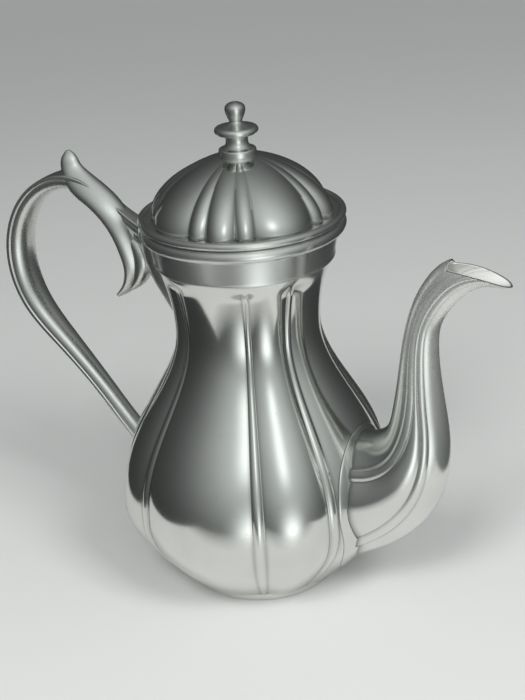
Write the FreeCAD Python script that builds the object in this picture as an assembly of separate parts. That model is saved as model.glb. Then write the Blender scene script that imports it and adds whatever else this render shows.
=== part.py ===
"""Lobed pewter coffee pot: pear-shaped body, swan-neck spout, ear handle and a loose domed lid.

Millimetres. The pot's axis is Z, it stands on Z = 0, the spout points to +X and the handle to -X.
"""
import FreeCAD, Part

import math
import os

V = FreeCAD.Vector
SIDEWAYS = V(0, 1, 0)

# Body, from the table up; radii are at the crest of a lobe
WALL = 1.8
FOOT_HEIGHT = 4.5
FOOT_SETBACK = 3.5
FOOT_RING_WIDTH = 4.0
BASE_PLATE_THICKNESS = 2.5
CORE_LEDGE = 7.5
BASE_RADIUS = 43.0
BOWL_HEIGHT = 43.5
BELLY_RADIUS = 71.0
SHOULDER_HEIGHT = 92.0
SHOULDER_FULLNESS = 1.15
NECK_RADIUS = 37.0
THROAT_HEIGHT = 34.0
BODY_TOP_RADIUS = 43.2
BOWL_SECTION_COUNT = 6
SHOULDER_SECTION_COUNT = 9

# Lobes of the body: wide ones face the spout, the handle and both sides
WIDE_LOBE_DEGREES = 57.0
GROOVE_DEPTH_SHARE = 0.045
REED_HALF_DEGREES = 2.3
REED_RISE_SHARE = 0.012
GROOVE_RUN_OUT = 14.0
GROOVE_LEFT_AT_TOP = 0.2

# Collar and mouth
COLLAR_HEIGHT = 13.0
COLLAR_STEP = 1.2
COLLAR_FLARE = 2.0
MOUTH_LEDGE = 4.4
RIM_OVERHANG = 4.0
RIM_HEIGHT = 6.4

# Strainer drilled through the body behind the spout
STRAINER_HOLE_RADIUS = 2.5
STRAINER_PITCH = 9.0
STRAINER_RISE = 18.0

# Spout ribs, from inside the belly to the tip: the rib's upper and lower ends as distances
# out from the belly's crest and up from the girth, and its half width
SPOUT_RIBS = [
    ((-24.0, 36.0), (-26.0, -36.0), 27.0),
    ((-12.5, 40.0), (-8.5, -26.5), 26.0),
    ((-3.0, 42.5), (8.5, -16.0), 23.8),
    ((4.5, 49.0), (24.0, 0.0), 20.5),
    ((7.2, 58.0), (33.0, 19.5), 17.0),
    ((8.6, 67.0), (35.2, 41.0), 14.3),
    ((10.0, 77.0), (33.0, 60.5), 12.0),
    ((11.4, 88.0), (30.3, 80.5), 9.8),
    ((13.4, 99.5), (29.8, 97.0), 8.6),
    ((17.8, 114.5), (32.6, 107.5), 8.2),
    ((23.8, 126.0), (38.8, 116.5), 8.3),
    ((32.0, 135.0), (47.5, 124.0), 8.2),
    ((43.0, 139.0), (56.0, 126.8), 7.0),
    ((58.0, 137.5), (65.3, 127.2), 3.0),
]
FLANGE_RIB_COUNT = 4
SPOUT_WALL = 1.6
SPOUT_GROOVE_SHARE = 0.055
SPOUT_REED_RISE_SHARE = 0.03
SPOUT_GROOVE_LEFT_AT_TIP = 0.2
FLANGE_WIDTH = 4.5
FLANGE_THICKNESS = 0.9

# Grooves of the spout, as angles from a rib's upper end: the upper and the lower one of each side and the
# half angle of their reeds, at the root and from the rib where they settle
SPOUT_ROOT_GROOVE_DEGREES = (45.0, 135.0)
SPOUT_NECK_GROOVE_DEGREES = (78.0, 112.0)
SPOUT_ROOT_REED_HALF_DEGREES = 6.0
SPOUT_NECK_REED_HALF_DEGREES = 10.0
SPOUT_SETTLED_RIB_INDEX = 6

# Open mouth of the beak: where it starts, out from the belly's crest, and its heights above the girth
LIP_BACK_OUT = 35.5
LIP_BACK_RISE = 135.0
LIP_MIDDLE_RISE = 132.6
LIP_TIP_RISE = 126.8

# Handle ribs, from inside the collar over the crown and the grip into the belly. Places are distances
# out and up from evenly spaced points on the straight line from the collar's foot to the belly's
# crest; half depth and half width follow
HANDLE_RIBS = [
    ((-8.5, 2.0), 5.0, 7.0),
    ((7.0, 16.5), 5.4, 8.0),
    ((26.0, 41.5), 5.4, 9.0),
    ((45.5, 63.5), 4.8, 9.0),
    ((62.0, 69.5), 4.5, 8.8),
    ((74.5, 63.5), 4.8, 9.4),
    ((77.0, 51.5), 5.0, 9.6),
    ((68.5, 40.5), 4.8, 9.0),
    ((51.0, 32.5), 4.2, 7.4),
    ((26.0, 18.5), 3.7, 5.8),
    ((7.5, 10.0), 4.0, 5.6),
    ((-9.0, 6.0), 4.6, 6.0),
]
ARM_RIB_INDEX = 2
HANDLE_GROOVE_DEGREES = [-52.0, 52.0, 128.0, 232.0]
HANDLE_GROOVE_SHARE = 0.05

# Leaf that rises as the blunt thumb spur, lies over the arm and hangs free as the scroll, from the arm's
# rib: places out and up, half depth and half width
LEAF_RIBS = [
    ((24.0, 26.0), 1.2, 1.2),
    ((23.6, 24.2), 3.0, 2.8),
    ((22.6, 18.4), 5.2, 5.0),
    ((18.4, 11.2), 6.2, 7.2),
    ((9.8, 5.4), 5.8, 8.4),
    ((0.8, -1.4), 5.6, 8.6),
    ((-5.6, -12.0), 5.6, 8.0),
    ((-8.8, -22.6), 5.2, 6.8),
    ((-9.8, -33.2), 4.6, 5.8),
    ((-6.0, -42.6), 3.2, 4.4),
    ((2.2, -49.8), 1.0, 1.4),
]

# Tongue that braces the handle against the neck, from the collar's foot
TONGUE_RIBS = [
    ((5.5, 2.0), 9.0, 6.4),
    ((4.5, -9.0), 9.0, 5.4),
    ((-0.5, -24.0), 7.0, 4.2),
    ((-6.0, -38.0), 4.0, 2.2),
]

# Lid
LID_GAP = 0.3
LID_EDGE_BEAD = 1.9
LID_SHELF_WIDTH = 5.0
LID_SHELF_THICKNESS = 1.8
LID_WALL = 1.6
DOME_HEIGHT = 29.1
DOME_POINT_ABOVE = 1.4
DOME_FULLNESS = 1.8
DOME_SLOPE = 0.62
DOME_SECTION_COUNT = 7
DOME_TURN_DEGREES = -30.0
DOME_GROOVE_SHARE = 0.085
DOME_REED_HALF_DEGREES = 6.3
DOME_REED_RISE_SHARE = 0.045
BEZEL_DEPTH = 8.0
BEZEL_WALL = 1.6
BEZEL_CLEARANCE = 0.5

# Finial, from its base up, and the washer and nut that hold it
FINIAL_BASE_RADIUS = 9.0
FINIAL_BASE_HEIGHT = 4.4
FINIAL_BASE_ROUNDING = 1.2
FINIAL_WAIST_RADIUS = 5.5
FINIAL_WAIST_HEIGHT = 5.6
FINIAL_WAIST_FLARE = 1.6
FINIAL_DISC_RADIUS = 10.5
FINIAL_DISC_EDGE = 2.2
FINIAL_DISC_ROLL = 2.6
FINIAL_STEM_RADIUS = 3.0
FINIAL_STEM_HEIGHT = 2.2
FINIAL_BALL_RADIUS = 4.9
FINIAL_BALL_TAPER = 5.8
FINIAL_BALL_CROWN = 3.0
SHANK_RADIUS = 2.0
SHANK_CLEARANCE = 0.15
SHANK_PAST_NUT = 2.2
WASHER_RADIUS = 5.5
WASHER_THICKNESS = 1.0
NUT_ACROSS_FLATS = 7.0
NUT_HEIGHT = 3.2

# Heights and radii that follow from the ones above
FOOT_RADIUS = BASE_RADIUS - FOOT_SETBACK
BELLY_HEIGHT = FOOT_HEIGHT + BOWL_HEIGHT
NECK_HEIGHT = BELLY_HEIGHT + SHOULDER_HEIGHT
BODY_TOP_HEIGHT = NECK_HEIGHT + THROAT_HEIGHT
COLLAR_FOOT_RADIUS = BODY_TOP_RADIUS + COLLAR_STEP
COLLAR_TOP_RADIUS = COLLAR_FOOT_RADIUS + COLLAR_FLARE
COLLAR_TOP = BODY_TOP_HEIGHT + COLLAR_HEIGHT
MOUTH_RADIUS = COLLAR_TOP_RADIUS - MOUTH_LEDGE
RIM_RADIUS = COLLAR_TOP_RADIUS + RIM_OVERHANG
RIM_TOP = COLLAR_TOP + RIM_HEIGHT
LID_SEAT = RIM_TOP + LID_GAP
BEZEL_RADIUS = MOUTH_RADIUS - BEZEL_CLEARANCE
DOME_RADIUS = RIM_RADIUS - LID_SHELF_WIDTH
DOME_FOOT = LID_SEAT + LID_SHELF_THICKNESS
DOME_TOP = DOME_FOOT + DOME_HEIGHT
DOME_CEILING = DOME_TOP - LID_WALL
WASHER_FOOT = DOME_CEILING - WASHER_THICKNESS
NUT_FOOT = WASHER_FOOT - NUT_HEIGHT


def arc(start, middle, end):
    """Round edge through three points."""
    return Part.Arc(start, middle, end).toShape()


def line(start, end):
    """Straight edge between two points."""
    return Part.LineSegment(start, end).toShape()


def closed_runs(corners):
    """Straight edges round a closed row of corners."""
    return [line(start, end) for start, end in zip(corners, corners[1:] + corners[:1])]


def lobed_wire(point_at, grooves, depth, reed_half=0.0, reed_rise=0.0):
    """Closed outline of swelling lobes, with a slim reed standing in each groove.

    point_at(angle, reach) places a point; grooves are angles in degrees, in order round the outline.
    """
    low = 1.0 - depth
    edges = []
    for groove, following in zip(grooves, grooves[1:] + [grooves[0] + 360.0]):
        lobe_start = groove + reed_half
        lobe_end = following - reed_half
        if reed_half:
            edges.append(arc(point_at(groove - reed_half, low),
                             point_at(groove, low + reed_rise),
                             point_at(lobe_start, low)))
        edges.append(arc(point_at(lobe_start, low),
                         point_at((lobe_start + lobe_end) / 2.0, 1.0),
                         point_at(lobe_end, low)))
    return Part.Wire(edges)


def round_section(radius, height):
    """Places points of a level section round the pot's axis."""
    def point_at(angle, reach):
        turn = math.radians(angle)
        return V(radius * reach * math.cos(turn), radius * reach * math.sin(turn), height)
    return point_at


def oval_section(centre, across, half_depth, half_width):
    """Places points of an oval section from a direction across it and the sideways one."""
    def point_at(angle, reach):
        turn = math.radians(angle)
        return (centre + across * (half_depth * reach * math.cos(turn))
                + SIDEWAYS * (half_width * reach * math.sin(turn)))
    return point_at


def loft(wires):
    """Smooth closed solid through a row of outlines."""
    return Part.makeLoft(wires, True, False, False, 5)


def turned(edges):
    """Solid of revolution about the pot's axis from a closed outline in the XZ plane."""
    return Part.Face(Part.Wire(edges)).revolve(V(0, 0, 0), V(0, 0, 1), 360)


def spot(radius, height):
    """Point of a turned outline."""
    return V(radius, 0, height)


def turned_runs(points):
    """Solid of revolution from straight runs between (radius, height) points."""
    return turned(closed_runs([spot(radius, height) for radius, height in points]))


def post(radius, foot, height):
    """Upright cylinder on the pot's axis."""
    return Part.makeCylinder(radius, height, V(0, 0, foot))


def body_radius(height):
    """Crest radius of the pear: a sine up to the girth, a skewed cosine to the neck, then a flare."""
    if height <= BELLY_HEIGHT:
        climb = (height - FOOT_HEIGHT) / BOWL_HEIGHT
        return BASE_RADIUS + (BELLY_RADIUS - BASE_RADIUS) * math.sin(math.pi / 2.0 * climb)
    if height <= NECK_HEIGHT:
        climb = ((height - BELLY_HEIGHT) / SHOULDER_HEIGHT) ** SHOULDER_FULLNESS
        return NECK_RADIUS + (BELLY_RADIUS - NECK_RADIUS) * (1.0 + math.cos(math.pi * climb)) / 2.0
    climb = (height - NECK_HEIGHT) / THROAT_HEIGHT
    return NECK_RADIUS + (BODY_TOP_RADIUS - NECK_RADIUS) * climb ** 2


def groove_strength(height):
    """Share of the full groove depth, which runs out below the collar."""
    run = min(1.0, (BODY_TOP_HEIGHT - height) / GROOVE_RUN_OUT)
    return GROOVE_LEFT_AT_TOP + (1.0 - GROOVE_LEFT_AT_TOP) * run


def lobe_grooves(turn=0.0):
    """Azimuths of the grooves between wide and narrow lobes, turned round the axis."""
    half = WIDE_LOBE_DEGREES / 2.0
    return [turn + quarter * 90.0 + side for quarter in range(4) for side in (-half, half)]


def body_section(height, grow):
    """Lobed outline of the body at one height, grown outwards by a distance."""
    strength = groove_strength(height)
    return lobed_wire(round_section(body_radius(height) + grow, height), lobe_grooves(),
                      GROOVE_DEPTH_SHARE * strength, REED_HALF_DEGREES, REED_RISE_SHARE * strength)


def body_loft(bottom, top, sections, grow):
    """Filled stretch of the lobed body between two heights."""
    rise = (top - bottom) / (sections - 1.0)
    return loft([body_section(bottom + rise * step, grow) for step in range(sections)])


def lower_body(grow, bottom=FOOT_HEIGHT):
    """Filled bowl from the foot to the girth."""
    return body_loft(bottom, BELLY_HEIGHT, BOWL_SECTION_COUNT, grow)


def upper_body(grow):
    """Filled shoulder and neck from the girth to the collar."""
    return body_loft(BELLY_HEIGHT, BODY_TOP_HEIGHT, SHOULDER_SECTION_COUNT, grow)


def make_base_plate():
    """Turned disc with a foot edge, soldered under the bowl to close the opening left by the core."""
    hollow = FOOT_RADIUS - FOOT_RING_WIDTH
    return turned_runs([(0, 0), (FOOT_RADIUS, 0), (FOOT_RADIUS, FOOT_HEIGHT), (hollow, FOOT_HEIGHT),
                        (hollow, BASE_PLATE_THICKNESS), (0, BASE_PLATE_THICKNESS)])


def make_body_lower():
    """Cast bowl, open at the girth, with a core opening in its floor."""
    opening = post(FOOT_RADIUS - CORE_LEDGE, 0, BELLY_HEIGHT)
    return lower_body(0.0).cut(lower_body(-WALL, FOOT_HEIGHT + WALL)).cut(opening)


def strainer_drills():
    """Six holes round a middle one, drilled along the spout's direction."""
    centre = BELLY_HEIGHT + STRAINER_RISE
    places = [(0.0, 0.0)]
    for turn in range(6):
        angle = math.radians(60.0 * turn)
        places.append((STRAINER_PITCH * math.cos(angle), STRAINER_PITCH * math.sin(angle)))
    starts = [V(BELLY_RADIUS / 2.0, across, centre + up) for across, up in places]
    return [Part.makeCylinder(STRAINER_HOLE_RADIUS, BELLY_RADIUS, start, V(1, 0, 0)) for start in starts]


def make_body_upper():
    """Cast shoulder and neck, soldered to the bowl at the girth, drilled behind the spout."""
    return upper_body(0.0).cut(upper_body(-WALL)).cut(strainer_drills())


def collar_filled():
    """Collar without its bore, to trim what is soldered to it."""
    return turned_runs([(0, BODY_TOP_HEIGHT), (COLLAR_FOOT_RADIUS, BODY_TOP_HEIGHT),
                        (COLLAR_TOP_RADIUS, COLLAR_TOP), (0, COLLAR_TOP)])


def make_collar_band():
    """Plain flared band between the lobed body and the mouth rim."""
    bore = turned_runs([(0, BODY_TOP_HEIGHT), (BODY_TOP_RADIUS - WALL, BODY_TOP_HEIGHT),
                        (MOUTH_RADIUS, COLLAR_TOP), (0, COLLAR_TOP)])
    return collar_filled().cut(bore)


def make_mouth_rim():
    """Half-round bead round the mouth, with a flat seat for the lid."""
    seat = RIM_RADIUS - RIM_HEIGHT / 2.0
    foot, top = COLLAR_TOP, RIM_TOP
    return turned([line(spot(MOUTH_RADIUS, foot), spot(seat, foot)),
                   arc(spot(seat, foot), spot(RIM_RADIUS, (foot + top) / 2.0), spot(seat, top)),
                   line(spot(seat, top), spot(MOUTH_RADIUS, top)),
                   line(spot(MOUTH_RADIUS, top), spot(MOUTH_RADIUS, foot))])


def spout_point(place):
    """Point of the spout's middle plane from its distances out from the crest and up from the girth."""
    return V(BELLY_RADIUS + place[0], 0, BELLY_HEIGHT + place[1])


def between(start, end, share):
    """Value a share of the way from one value to another."""
    return start + (end - start) * share


def spout_grooves(index):
    """Groove angles round one rib of the spout and its reeds' half angle; each side draws together."""
    share = min(1.0, index / SPOUT_SETTLED_RIB_INDEX)
    upper, lower = [between(root, neck, share)
                    for root, neck in zip(SPOUT_ROOT_GROOVE_DEGREES, SPOUT_NECK_GROOVE_DEGREES)]
    reed_half = between(SPOUT_ROOT_REED_HALF_DEGREES, SPOUT_NECK_REED_HALF_DEGREES, share)
    return [-upper, upper, lower, 360.0 - lower], reed_half


def spout_groove_strength(index):
    """Share of the full groove depth at one rib of the spout, which runs out towards the tip."""
    run_out = len(SPOUT_RIBS) - 1.0 - SPOUT_SETTLED_RIB_INDEX
    past = max(0.0, (index - SPOUT_SETTLED_RIB_INDEX) / run_out)
    return between(1.0, SPOUT_GROOVE_LEFT_AT_TIP, past)


def spout_loft(ribs, grow):
    """Filled spout through its ribs, each lobed like the body and grown outwards by a distance."""
    wires = []
    for index, (upper, lower, half_width) in enumerate(ribs):
        top, bottom = spout_point(upper), spout_point(lower)
        depth = top - bottom
        section = oval_section((top + bottom) * 0.5, V(depth).normalize(),
                               depth.Length / 2.0 + grow, half_width + grow)
        grooves, reed_half = spout_grooves(index)
        strength = spout_groove_strength(index)
        wires.append(lobed_wire(section, grooves, SPOUT_GROOVE_SHARE * strength,
                                reed_half, SPOUT_REED_RISE_SHARE * strength))
    return loft(wires)


def above_lip():
    """Space above the drooping mouth of the beak, which is cut open."""
    back = LIP_BACK_OUT
    tip = SPOUT_RIBS[-1][1][0] + SPOUT_WALL
    sky = LIP_BACK_RISE + SHOULDER_HEIGHT
    low_back, low_tip = spout_point((back, LIP_BACK_RISE)), spout_point((tip, LIP_TIP_RISE))
    high_back, high_tip = spout_point((back, sky)), spout_point((tip, sky))
    middle = spout_point(((back + tip) / 2.0, LIP_MIDDLE_RISE))
    face = Part.Face(Part.Wire([arc(low_back, middle, low_tip), line(low_tip, high_tip),
                                line(high_tip, high_back), line(high_back, low_back)]))
    face.translate(SIDEWAYS * -BELLY_RADIUS)
    return face.extrude(SIDEWAYS * (2.0 * BELLY_RADIUS))


def make_spout_halves():
    """Left and right castings of the hollow spout, soldered along the middle plane."""
    shell = spout_loft(SPOUT_RIBS, 0.0).cut(spout_loft(SPOUT_RIBS, -SPOUT_WALL))
    shell = shell.cut([upper_body(0.0), lower_body(0.0), above_lip()])
    reach = shell.BoundBox.DiagonalLength + shell.BoundBox.XMax
    left_side = Part.makeBox(reach, reach, reach)
    return shell.common(left_side), shell.cut(left_side)


def make_spout_flange():
    """Thin band on the belly all round the spout's root."""
    band = spout_loft(SPOUT_RIBS[:FLANGE_RIB_COUNT], FLANGE_WIDTH)
    band = band.cut([spout_loft(SPOUT_RIBS, 0.0), upper_body(0.0), lower_body(0.0)])
    skin = upper_body(FLANGE_THICKNESS).fuse(lower_body(FLANGE_THICKNESS))
    return band.common(skin)


def handle_points():
    """Rib places of the handle's loop, spread between the collar's foot and the belly's crest."""
    collar = V(-COLLAR_FOOT_RADIUS, 0, BODY_TOP_HEIGHT)
    chord = V(-BELLY_RADIUS, 0, BELLY_HEIGHT) - collar
    last = len(HANDLE_RIBS) - 1.0
    return [collar + chord * (index / last) + V(-out, 0, up)
            for index, ((out, up), _, _) in enumerate(HANDLE_RIBS)]


def points_from(start, ribs):
    """Rib places of a branch, measured out and up from where it starts."""
    return [start + V(-out, 0, up) for (out, up), _, _ in ribs]


def spine_tangents(points):
    """Direction of a spine at each of its points, from its neighbours."""
    earlier = points[:1] + points[:-1]
    later = points[1:] + points[-1:]
    return [(after - before).normalize() for before, after in zip(earlier, later)]


def ribbed_bar(ribs, points, tangents):
    """Bar lofted through oval ribs square to their tangents, with a raised strip along its outer side."""
    wires = []
    for (_, half_depth, half_width), point, tangent in zip(ribs, points, tangents):
        section = oval_section(point, tangent.cross(SIDEWAYS), half_depth, half_width)
        wires.append(lobed_wire(section, HANDLE_GROOVE_DEGREES, HANDLE_GROOVE_SHARE))
    return loft(wires)


def make_handle():
    """Ear handle cast in one piece: loop, leaf with thumb spur and flying scroll, and tongue on the neck."""
    points = handle_points()
    loop = ribbed_bar(HANDLE_RIBS, points, spine_tangents(points))
    leaf_points = points_from(points[ARM_RIB_INDEX], LEAF_RIBS)
    leaf = ribbed_bar(LEAF_RIBS, leaf_points, spine_tangents(leaf_points))
    tongue_points = points_from(V(-COLLAR_FOOT_RADIUS, 0, BODY_TOP_HEIGHT), TONGUE_RIBS)
    tongue = ribbed_bar(TONGUE_RIBS, tongue_points, [V(0, 0, -1)] * len(TONGUE_RIBS))
    return loop.fuse([leaf, tongue]).cut([upper_body(0.0), lower_body(0.0), collar_filled()])


def dome_radius(height, grow):
    """Crest radius of the dome, a rounded cone that would close a little above its flat top."""
    climb = (height - DOME_FOOT) / (DOME_HEIGHT + DOME_POINT_ABOVE + grow)
    return (DOME_RADIUS + grow) * (1.0 - climb ** DOME_FULLNESS) ** DOME_SLOPE


def dome_loft(top, grow):
    """Filled fluted dome from its foot to a flat top, grown outwards by a distance."""
    grooves = lobe_grooves(DOME_TURN_DEGREES)
    rise = (top - DOME_FOOT) / (DOME_SECTION_COUNT - 1.0)
    wires = []
    for step in range(DOME_SECTION_COUNT):
        height = DOME_FOOT + rise * step
        wires.append(lobed_wire(round_section(dome_radius(height, grow), height), grooves,
                                DOME_GROOVE_SHARE, DOME_REED_HALF_DEGREES, DOME_REED_RISE_SHARE))
    return loft(wires)


def shank_hole():
    """Clearance hole on the axis for the finial's shank."""
    return post(SHANK_RADIUS + SHANK_CLEARANCE, LID_SEAT, DOME_TOP)


def make_lid_dome():
    """Fluted dome of the lid, drilled at the top for the finial's shank."""
    return dome_loft(DOME_TOP, 0.0).cut([dome_loft(DOME_CEILING, -LID_WALL), shank_hole()])


def make_lid_rim():
    """Flat shelf of the lid, ending in a round bead over the mouth rim."""
    inner = BEZEL_RADIUS - BEZEL_WALL
    bead = RIM_RADIUS - LID_EDGE_BEAD
    middle = LID_SEAT + LID_EDGE_BEAD
    crest = middle + LID_EDGE_BEAD
    meet = bead - math.sqrt(LID_EDGE_BEAD ** 2 - (DOME_FOOT - middle) ** 2)
    slant = LID_EDGE_BEAD * math.sqrt(0.5)
    return turned([line(spot(inner, LID_SEAT), spot(bead, LID_SEAT)),
                   arc(spot(bead, LID_SEAT), spot(RIM_RADIUS, middle), spot(bead, crest)),
                   arc(spot(bead, crest), spot(bead - slant, middle + slant), spot(meet, DOME_FOOT)),
                   line(spot(meet, DOME_FOOT), spot(inner, DOME_FOOT)),
                   line(spot(inner, DOME_FOOT), spot(inner, LID_SEAT))])


def make_lid_bezel():
    """Ring under the lid that keeps it centred in the mouth."""
    foot = LID_SEAT - BEZEL_DEPTH
    return post(BEZEL_RADIUS, foot, BEZEL_DEPTH).cut(post(BEZEL_RADIUS - BEZEL_WALL, foot, BEZEL_DEPTH))


def oval_corner(level_end, upright_end):
    """Round edge that runs level at one end and stands upright at the other."""
    centre = V(level_end.x, 0, upright_end.z)
    middle = centre + (level_end - centre + upright_end - centre) * math.sqrt(0.5)
    return arc(level_end, middle, upright_end)


def make_finial():
    """Turned knob: rounded base, waist, disc, stem and ball, with a shank down through the dome."""
    foot = DOME_TOP
    base_top = foot + FINIAL_BASE_HEIGHT
    disc_low = base_top + FINIAL_WAIST_HEIGHT
    disc_top = disc_low + 2.0 * FINIAL_DISC_EDGE
    stem_top = disc_top + FINIAL_STEM_HEIGHT
    ball_middle = stem_top + FINIAL_BALL_TAPER
    tip = ball_middle + FINIAL_BALL_CROWN
    bottom = NUT_FOOT - SHANK_PAST_NUT
    base_edge = spot(FINIAL_BASE_RADIUS, base_top - FINIAL_BASE_ROUNDING)
    base_shoulder = spot(FINIAL_BASE_RADIUS - FINIAL_BASE_ROUNDING, base_top)
    flare = FINIAL_WAIST_RADIUS + FINIAL_WAIST_FLARE
    disc_root = FINIAL_DISC_RADIUS - FINIAL_DISC_ROLL
    ball_edge = spot(FINIAL_BALL_RADIUS, ball_middle)
    return turned([
        line(spot(0, bottom), spot(SHANK_RADIUS, bottom)),
        line(spot(SHANK_RADIUS, bottom), spot(SHANK_RADIUS, foot)),
        line(spot(SHANK_RADIUS, foot), spot(FINIAL_BASE_RADIUS, foot)),
        line(spot(FINIAL_BASE_RADIUS, foot), base_edge),
        oval_corner(base_shoulder, base_edge),
        line(base_shoulder, spot(flare, base_top)),
        arc(spot(flare, base_top), spot(FINIAL_WAIST_RADIUS, (base_top + disc_low) / 2.0),
            spot(flare, disc_low)),
        line(spot(flare, disc_low), spot(disc_root, disc_low)),
        arc(spot(disc_root, disc_low), spot(FINIAL_DISC_RADIUS, disc_low + FINIAL_DISC_EDGE),
            spot(disc_root, disc_top)),
        line(spot(disc_root, disc_top), spot(FINIAL_STEM_RADIUS, disc_top)),
        line(spot(FINIAL_STEM_RADIUS, disc_top), spot(FINIAL_STEM_RADIUS, stem_top)),
        oval_corner(spot(FINIAL_STEM_RADIUS, stem_top), ball_edge),
        oval_corner(spot(0, tip), ball_edge),
        line(spot(0, tip), spot(0, bottom)),
    ])


def make_finial_washer():
    """Flat washer under the top of the dome."""
    return post(WASHER_RADIUS, WASHER_FOOT, WASHER_THICKNESS).cut(shank_hole())


def make_finial_nut():
    """Hexagon nut that draws the finial down on the dome."""
    at_corner = round_section(NUT_ACROSS_FLATS / math.sqrt(3.0), NUT_FOOT)
    corners = [at_corner(60.0 * turn, 1.0) for turn in range(6)]
    face = Part.Face(Part.Wire(closed_runs(corners)))
    return face.extrude(V(0, 0, NUT_HEIGHT)).cut(shank_hole())


def main():
    """Builds every piece of the pot and its lid and writes each under its node's name."""
    os.makedirs("parts", exist_ok=True)
    spout_left, spout_right = make_spout_halves()
    pieces = {
        "base_plate": make_base_plate(),
        "body_lower": make_body_lower(),
        "body_upper": make_body_upper(),
        "collar_band": make_collar_band(),
        "mouth_rim": make_mouth_rim(),
        "spout_left": spout_left,
        "spout_right": spout_right,
        "spout_flange": make_spout_flange(),
        "handle": make_handle(),
        "lid_dome": make_lid_dome(),
        "lid_rim": make_lid_rim(),
        "lid_bezel": make_lid_bezel(),
        "finial": make_finial(),
        "finial_washer": make_finial_washer(),
        "finial_nut": make_finial_nut(),
    }
    for node, shape in pieces.items():
        shape.exportStep(os.path.join("parts", node + ".step"))


main()
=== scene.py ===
"""Lobed pewter coffee pot: the looks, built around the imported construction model. Metres."""
import math

import bmesh
import bpy
import numpy as np
from bpy.props import FloatProperty, FloatVectorProperty, PointerProperty
from bpy.types import Operator, Panel, PropertyGroup
from mathutils import Matrix, Vector


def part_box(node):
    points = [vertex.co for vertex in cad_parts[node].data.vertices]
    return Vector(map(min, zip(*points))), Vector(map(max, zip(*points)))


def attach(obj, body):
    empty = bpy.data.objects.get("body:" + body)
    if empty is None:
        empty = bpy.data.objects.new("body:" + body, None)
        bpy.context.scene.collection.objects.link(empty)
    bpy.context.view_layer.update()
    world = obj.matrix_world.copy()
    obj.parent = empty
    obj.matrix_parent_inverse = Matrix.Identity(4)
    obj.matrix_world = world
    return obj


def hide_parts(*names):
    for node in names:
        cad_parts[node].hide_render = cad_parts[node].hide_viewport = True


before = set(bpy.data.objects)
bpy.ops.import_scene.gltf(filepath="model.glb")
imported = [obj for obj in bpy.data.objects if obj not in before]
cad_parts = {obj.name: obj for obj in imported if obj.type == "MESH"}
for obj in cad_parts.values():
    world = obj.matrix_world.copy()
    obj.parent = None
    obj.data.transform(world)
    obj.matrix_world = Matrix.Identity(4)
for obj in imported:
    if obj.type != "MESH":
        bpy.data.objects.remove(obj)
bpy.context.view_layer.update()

bl_info = {
    "name": "Lobed Pewter Coffee Pot",
    "version": (1, 0, 0),
    "blender": (4, 5, 0),
    "location": "View3D > Sidebar > Coffee Pot",
    "description": "Builds the finished pieces of a lobed pewter coffee pot around its construction model",
    "category": "Object",
}

MM = 0.001
FULL_TURN = 360.0

# Heights and radii read from the construction model
FOOT_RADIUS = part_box("base_plate")[1].x
FOOT_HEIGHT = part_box("base_plate")[1].z
GIRTH_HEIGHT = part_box("body_lower")[1].z
BELLY_RADIUS = -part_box("body_lower")[0].x
BODY_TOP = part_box("body_upper")[1].z
COLLAR_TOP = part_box("collar_band")[1].z
COLLAR_TOP_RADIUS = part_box("collar_band")[1].x
RIM_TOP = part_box("mouth_rim")[1].z
RIM_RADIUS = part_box("mouth_rim")[1].x
LID_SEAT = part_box("lid_rim")[0].z
LID_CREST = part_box("lid_rim")[1].z
LID_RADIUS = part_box("lid_rim")[1].x
BEZEL_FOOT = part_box("lid_bezel")[0].z
BEZEL_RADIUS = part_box("lid_bezel")[1].x
DOME_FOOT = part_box("lid_dome")[0].z
DOME_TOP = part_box("lid_dome")[1].z
KNOB_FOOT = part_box("finial")[0].z
KNOB_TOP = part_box("finial")[1].z

# Middles of the four wide lobes in degrees; the spout is at 0 and the handle at 180
QUARTER_TURNS = np.arange(4) * FULL_TURN / 4.0

# Spout ribs in millimetres from inside the belly to the tip: upper end out and up, lower end out and up,
# from the belly's crest at the girth, and the half width
SPOUT_START = np.array([BELLY_RADIUS, GIRTH_HEIGHT])
SPOUT_RIBS = np.array([
    (-24.0, 36.0, -26.0, -36.0, 27.0),
    (-12.5, 40.0, -8.5, -26.5, 26.0),
    (-3.0, 42.5, 8.5, -16.0, 23.8),
    (4.5, 49.0, 24.0, 0.0, 20.5),
    (7.2, 58.0, 33.0, 19.5, 17.0),
    (8.6, 67.0, 35.2, 41.0, 14.3),
    (10.0, 77.0, 33.0, 60.5, 12.0),
    (11.4, 88.0, 30.3, 80.5, 9.8),
    (13.4, 99.5, 29.8, 97.0, 8.6),
    (17.8, 114.5, 32.6, 107.5, 8.2),
    (23.8, 126.0, 38.8, 116.5, 8.3),
    (32.0, 135.0, 47.5, 124.0, 8.2),
    (43.0, 139.0, 56.0, 126.8, 7.4),
    (52.0, 138.4, 61.4, 126.9, 6.6),
    (58.4, 136.8, 64.8, 127.4, 4.6),
    (61.4, 134.6, 66.2, 128.2, 1.6),
])
# Grooves round the spout in degrees from its upper line, at its root and from its neck on
SPOUT_ROOT_GROOVES = np.array([-45.0, 45.0, 135.0, 225.0])
SPOUT_NECK_GROOVES = np.array([-79.0, 79.0, 113.0, 247.0])
SPOUT_NECK_RIB = 6
# Mouth of the beak in millimetres, out from the belly's crest and up from the girth
LIP_BACK = (35.5, 133.4)
LIP_MIDDLE = (51.2, 131.8)
LIP_TIP = (66.9, 126.8)

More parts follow.
